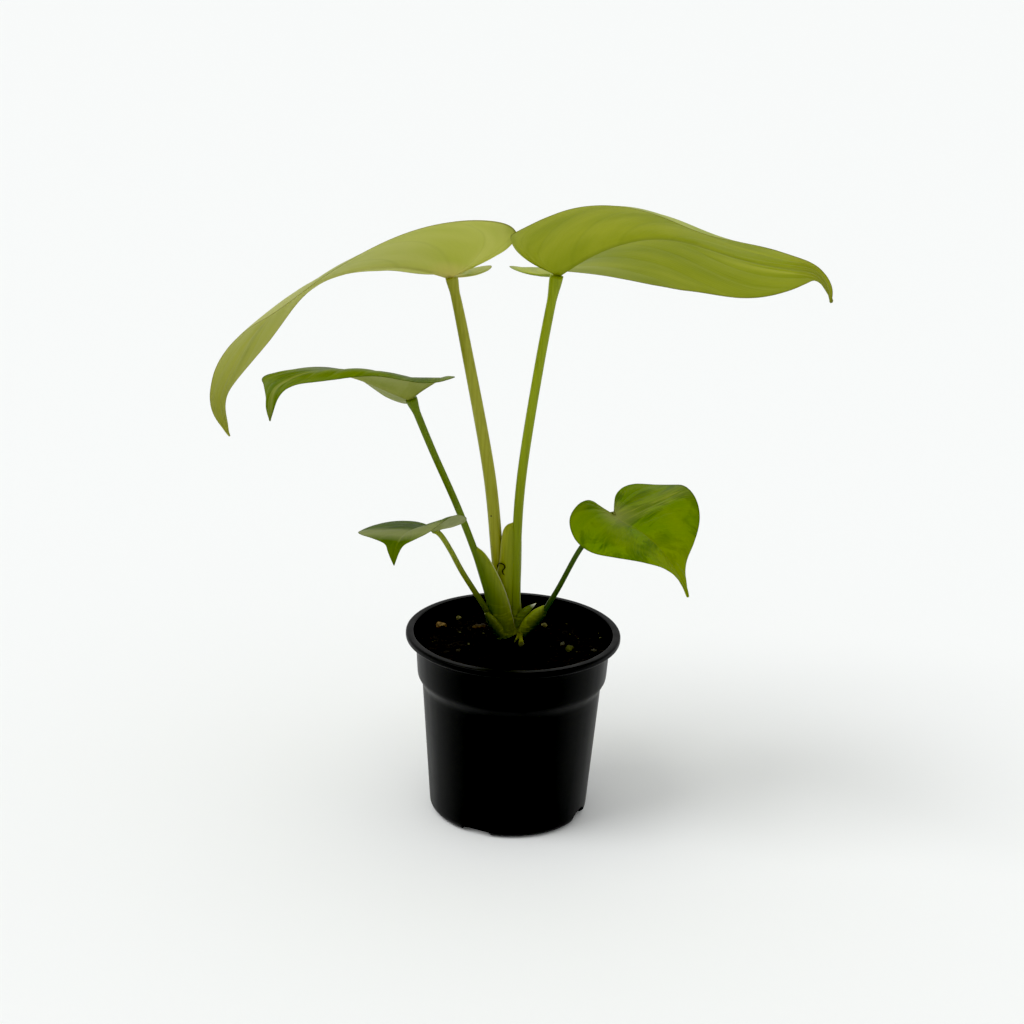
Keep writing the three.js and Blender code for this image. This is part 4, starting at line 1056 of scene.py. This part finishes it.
def soilHeight(x, y):
    # A bell-shaped mound round the crown with bark-sized lumps and finer crumbs on it.
    away = np.hypot(x - soil["moundX"], y - soil["moundY"])
    mound = soil["moundHeight"] * np.exp(-((away / soil["moundSpread"]) ** 2) / 2)
    lumps = sum(height * latticeNoise(x, y, cell, seed) for height, cell, seed in soil["lumps"])
    fine = soil["crumbHeight"] * latticeNoise(x, y, soil["crumbCell"], 4)
    return soil["level"] + mound + soil["lumpHeight"] * lumps + fine


def onSoil(x, y, rise):
    # The point at x and y that lies rise above the soil.
    return np.array([x, y, soilHeight(np.array(x), np.array(y)) + rise])


def soilBody():
    # Lathe up the inside of the pot, then rings drawn in to the middle at the height of the soil.
    wall, gap, base = pot["wall"], soil["gap"], pot["baseRadius"]
    corner = [(base - inwards - gap, wall + up + soil["floorGap"]) for inwards, up in pot["corner"]]
    sides = corner + [(radius - wall - gap, height) for radius, height in soil["sides"]]
    angle = fullTurn(soil["segments"])
    radius = (pot["collarRadius"] - wall - gap) * (1 - np.linspace(0, 0.995, soil["rings"]))[:, None]
    x, y = radius * np.cos(angle), radius * np.sin(angle)
    top = np.stack([x, y, soilHeight(x, y)], -1)
    return closedTube(np.concatenate([turned(np.array(sides), soil["segments"]), top]))


def roughened(points, size, turn, seed, roughness=0.22):
    # A ball made uneven by two products of smooth waves, stretched to its size and turned about Z.
    phase = np.random.default_rng(seed).uniform(0, 6, 4)
    waves = np.sin(3.1 * points[:, 0] + phase[0]) * np.cos(2.7 * points[:, 1] + phase[1])
    waves = waves + 0.6 * np.sin(5.3 * points[:, 2] + phase[2]) * np.cos(4.7 * points[:, 0] + phase[3])
    out = points * (1 + roughness * waves)[:, None] * np.array(size) / 2
    c, s = np.cos(turn), np.sin(turn)
    return out @ np.array([[c, s, 0], [-s, c, 0], [0, 0, 1]])


def crumbParts():
    # Seeded crumbs of bark and coir strewn evenly over the soil and half sunk in it, then the pale bits.
    rng = np.random.default_rng(soil["seed"])
    ball, ballFaces = icosphere(1)
    parts = []
    for k in range(soil["crumbs"] + len(soil["paleBits"])):
        away = soil["crumbReach"] * np.sqrt(rng.uniform(0.02, 1))
        angle = rng.uniform(0, 2 * np.pi)
        factor = 1 if k % soil["bigEvery"] else soil["bigFactor"]
        length = rng.uniform(*soil["crumbLength"]) * factor
        x, y = away * np.cos(angle), away * np.sin(angle)
        turn, tone = rng.uniform(0, 6.28), rng.uniform(0, 1)
        if k >= soil["crumbs"]:
            x, y = soil["paleBits"][k - soil["crumbs"]]
            length, tone = rng.uniform(*soil["paleLength"]), rng.uniform(1.3, 2)
        size = (length, length * rng.uniform(0.4, 0.8), length * rng.uniform(0.35, 0.7))
        crumb = roughened(ball, size, turn, k) + onSoil(x, y, soil["crumbRise"] * length)
        parts.append((crumb, ballFaces, np.full(len(crumb), tone)))
    return parts


def soilMaterial():
    # Dark mottled mix. The tone is 0 to 1 on bark crumbs and above 1 on pale bits.
    material, tree, shader = newMaterial("barkyPottingSoil")
    tone = attributeValue(tree, "crumbTone")
    mottle = grain(tree, objectPlace(tree), 420, 6, rough=0.7)
    tint = blend(tree, remap(tree, mottle, 0.4, 0.7), colour("070605"), colour("15110b"))
    tint = paint(tree, tint, remap(tree, tone, 0.55, 1, 0, 0.7), "251d12")
    tint = paint(tree, tint, remap(tree, tone, 1, 2), "5a5a40")
    rough = remap(tree, mottle, 0.3, 0.7, 0.95, 0.75)
    finishShader(tree, shader, tint, rough, mottle, strength=0.7, depth=0.0006, gloss=0.08)
    return material


points, faces = soilBody()
points, faces, tone = joined([(points, faces, np.zeros(len(points))), *crumbParts()])
settle(addMesh("pottingSoil", points, faces, {"crumbTone": tone}), soilMaterial(), "soil", "potting_soil")
print("soil done")


# Bark chips and pale grains that lie loose on the soil
chipShape = {"level": 4, "roughness": 0.2, "rise": 0.1, "firstSeed": 40}
chipGrain = {"bark": 500, "pumice": 900}
chips = {       # place and size in mm, turn in degrees, dark and light tint
    "bark_chip_brown": {
        "at": (-17.3, 16.1), "size": (7.4, 4.4, 3), "turn": 20, "tints": ("18120a", "4a3a1e")},
    "bark_chip_tan": {
        "at": (-37.7, 19.2), "size": (5.6, 4.2, 3), "turn": -35, "tints": ("3c2e16", "846a3e")},
    "bark_chip_olive": {
        "at": (28.7, -9), "size": (6, 4, 3.4), "turn": 60, "tints": ("1c1e08", "50521c")},
    "pumice_left_back": {
        "at": (-28.7, 31.2), "size": (2.8, 2.2, 2.4), "turn": 10, "tints": ("34321c", "787448")},
    "pumice_left_front": {
        "at": (-27.2, -15), "size": (3.2, 2.4, 2.6), "turn": 50, "tints": ("16140e", "343024")},
    "pumice_right_back": {
        "at": (15.9, 19.8), "size": (3.6, 2.2, 2.4), "turn": -20, "tints": ("3c3820", "8c8450")},
    "pumice_right_front": {
        "at": (25.4, -2.6), "size": (4.2, 1.9, 2.2), "turn": 75, "tints": ("26251a", "5c5a44")},
    "pumice_right_edge": {
        "at": (41.5, -9), "size": (3, 2.4, 2.4), "turn": 0, "tints": ("201f18", "4c4a3a")},
}


def chipMaterial(name, tints, scale):
    # Dry grain drawn out along Y, between a dark and a light tint.
    material, tree, shader = newMaterial(name)
    fibres = grain(tree, objectPlace(tree), scale, 5, (1, 0.35, 1), rough=0.65)
    tint = blend(tree, remap(tree, fibres, 0.35, 0.65), colour(tints[0]), colour(tints[1]))
    rough = remap(tree, fibres, 0.3, 0.7, 0.7, 0.95)
    finishShader(tree, shader, tint, rough, fibres, strength=0.6, depth=0.0005, gloss=0.2)
    return material


for seed, (name, chip) in enumerate(chips.items(), chipShape["firstSeed"]):
    slot = name.split("_")[0]
    ball, ballFaces = icosphere(chipShape["level"])
    points = roughened(ball, chip["size"], np.radians(chip["turn"]), seed, chipShape["roughness"])
    points = points + onSoil(*chip["at"], chipShape["rise"] * chip["size"][2])
    material = chipMaterial(name, chip["tints"], chipGrain[slot])
    settle(addMesh("loose_" + name, points, ballFaces), material, slot, name)
print("chips done")


# Floor, lights and backdrop
studio = {
    "floorSize": 24,          # m, so that it fills the whole picture
    "floorTint": "eff1f1",
    "skyStrength": 0.775,
    "skyTint": (1, 1, 0.99, 1),
    "sunStrength": 1.25,
    "sunTravel": (0.62, 0.26, -0.95),
    "sunSpread": 34,          # degrees across, for soft shadows
}


def addFloor():
    # A pale square, two triangles, under the pot.
    side = studio["floorSize"] / mm / 2
    corners = np.array([(-side, -side, 0), (side, -side, 0), (side, side, 0), (-side, side, 0)], float)
    floor = addMesh("paleFloor", corners, np.array([[0, 1, 2], [0, 2, 3]]), smooth=False)
    material, tree, shader = newMaterial("paleFloor")
    fill(tree, shader, {
        "Base Color": colour(studio["floorTint"]), "Roughness": 0.8, "Specular IOR Level": 0.1})
    floor.data.materials.append(material)


def addLights():
    # An even sky all round, and one broad sun from above and the left.
    world = bpy.data.worlds.new("softStudio")
    world.use_nodes = True
    sky = {"Color": studio["skyTint"], "Strength": studio["skyStrength"]}
    fill(world.node_tree, world.node_tree.nodes["Background"], sky)
    scene.world = world
    data = bpy.data.lights.new("softSun", "SUN")
    data.energy, data.angle = studio["sunStrength"], np.radians(studio["sunSpread"])
    lamp = bpy.data.objects.new("softSun", data)
    away = -np.array(studio["sunTravel"])
    lamp.rotation_euler = Vector(away.tolist()).to_track_quat("Z", "Y").to_euler()
    scene.collection.objects.link(lamp)


addFloor()
addLights()
print("studio done")
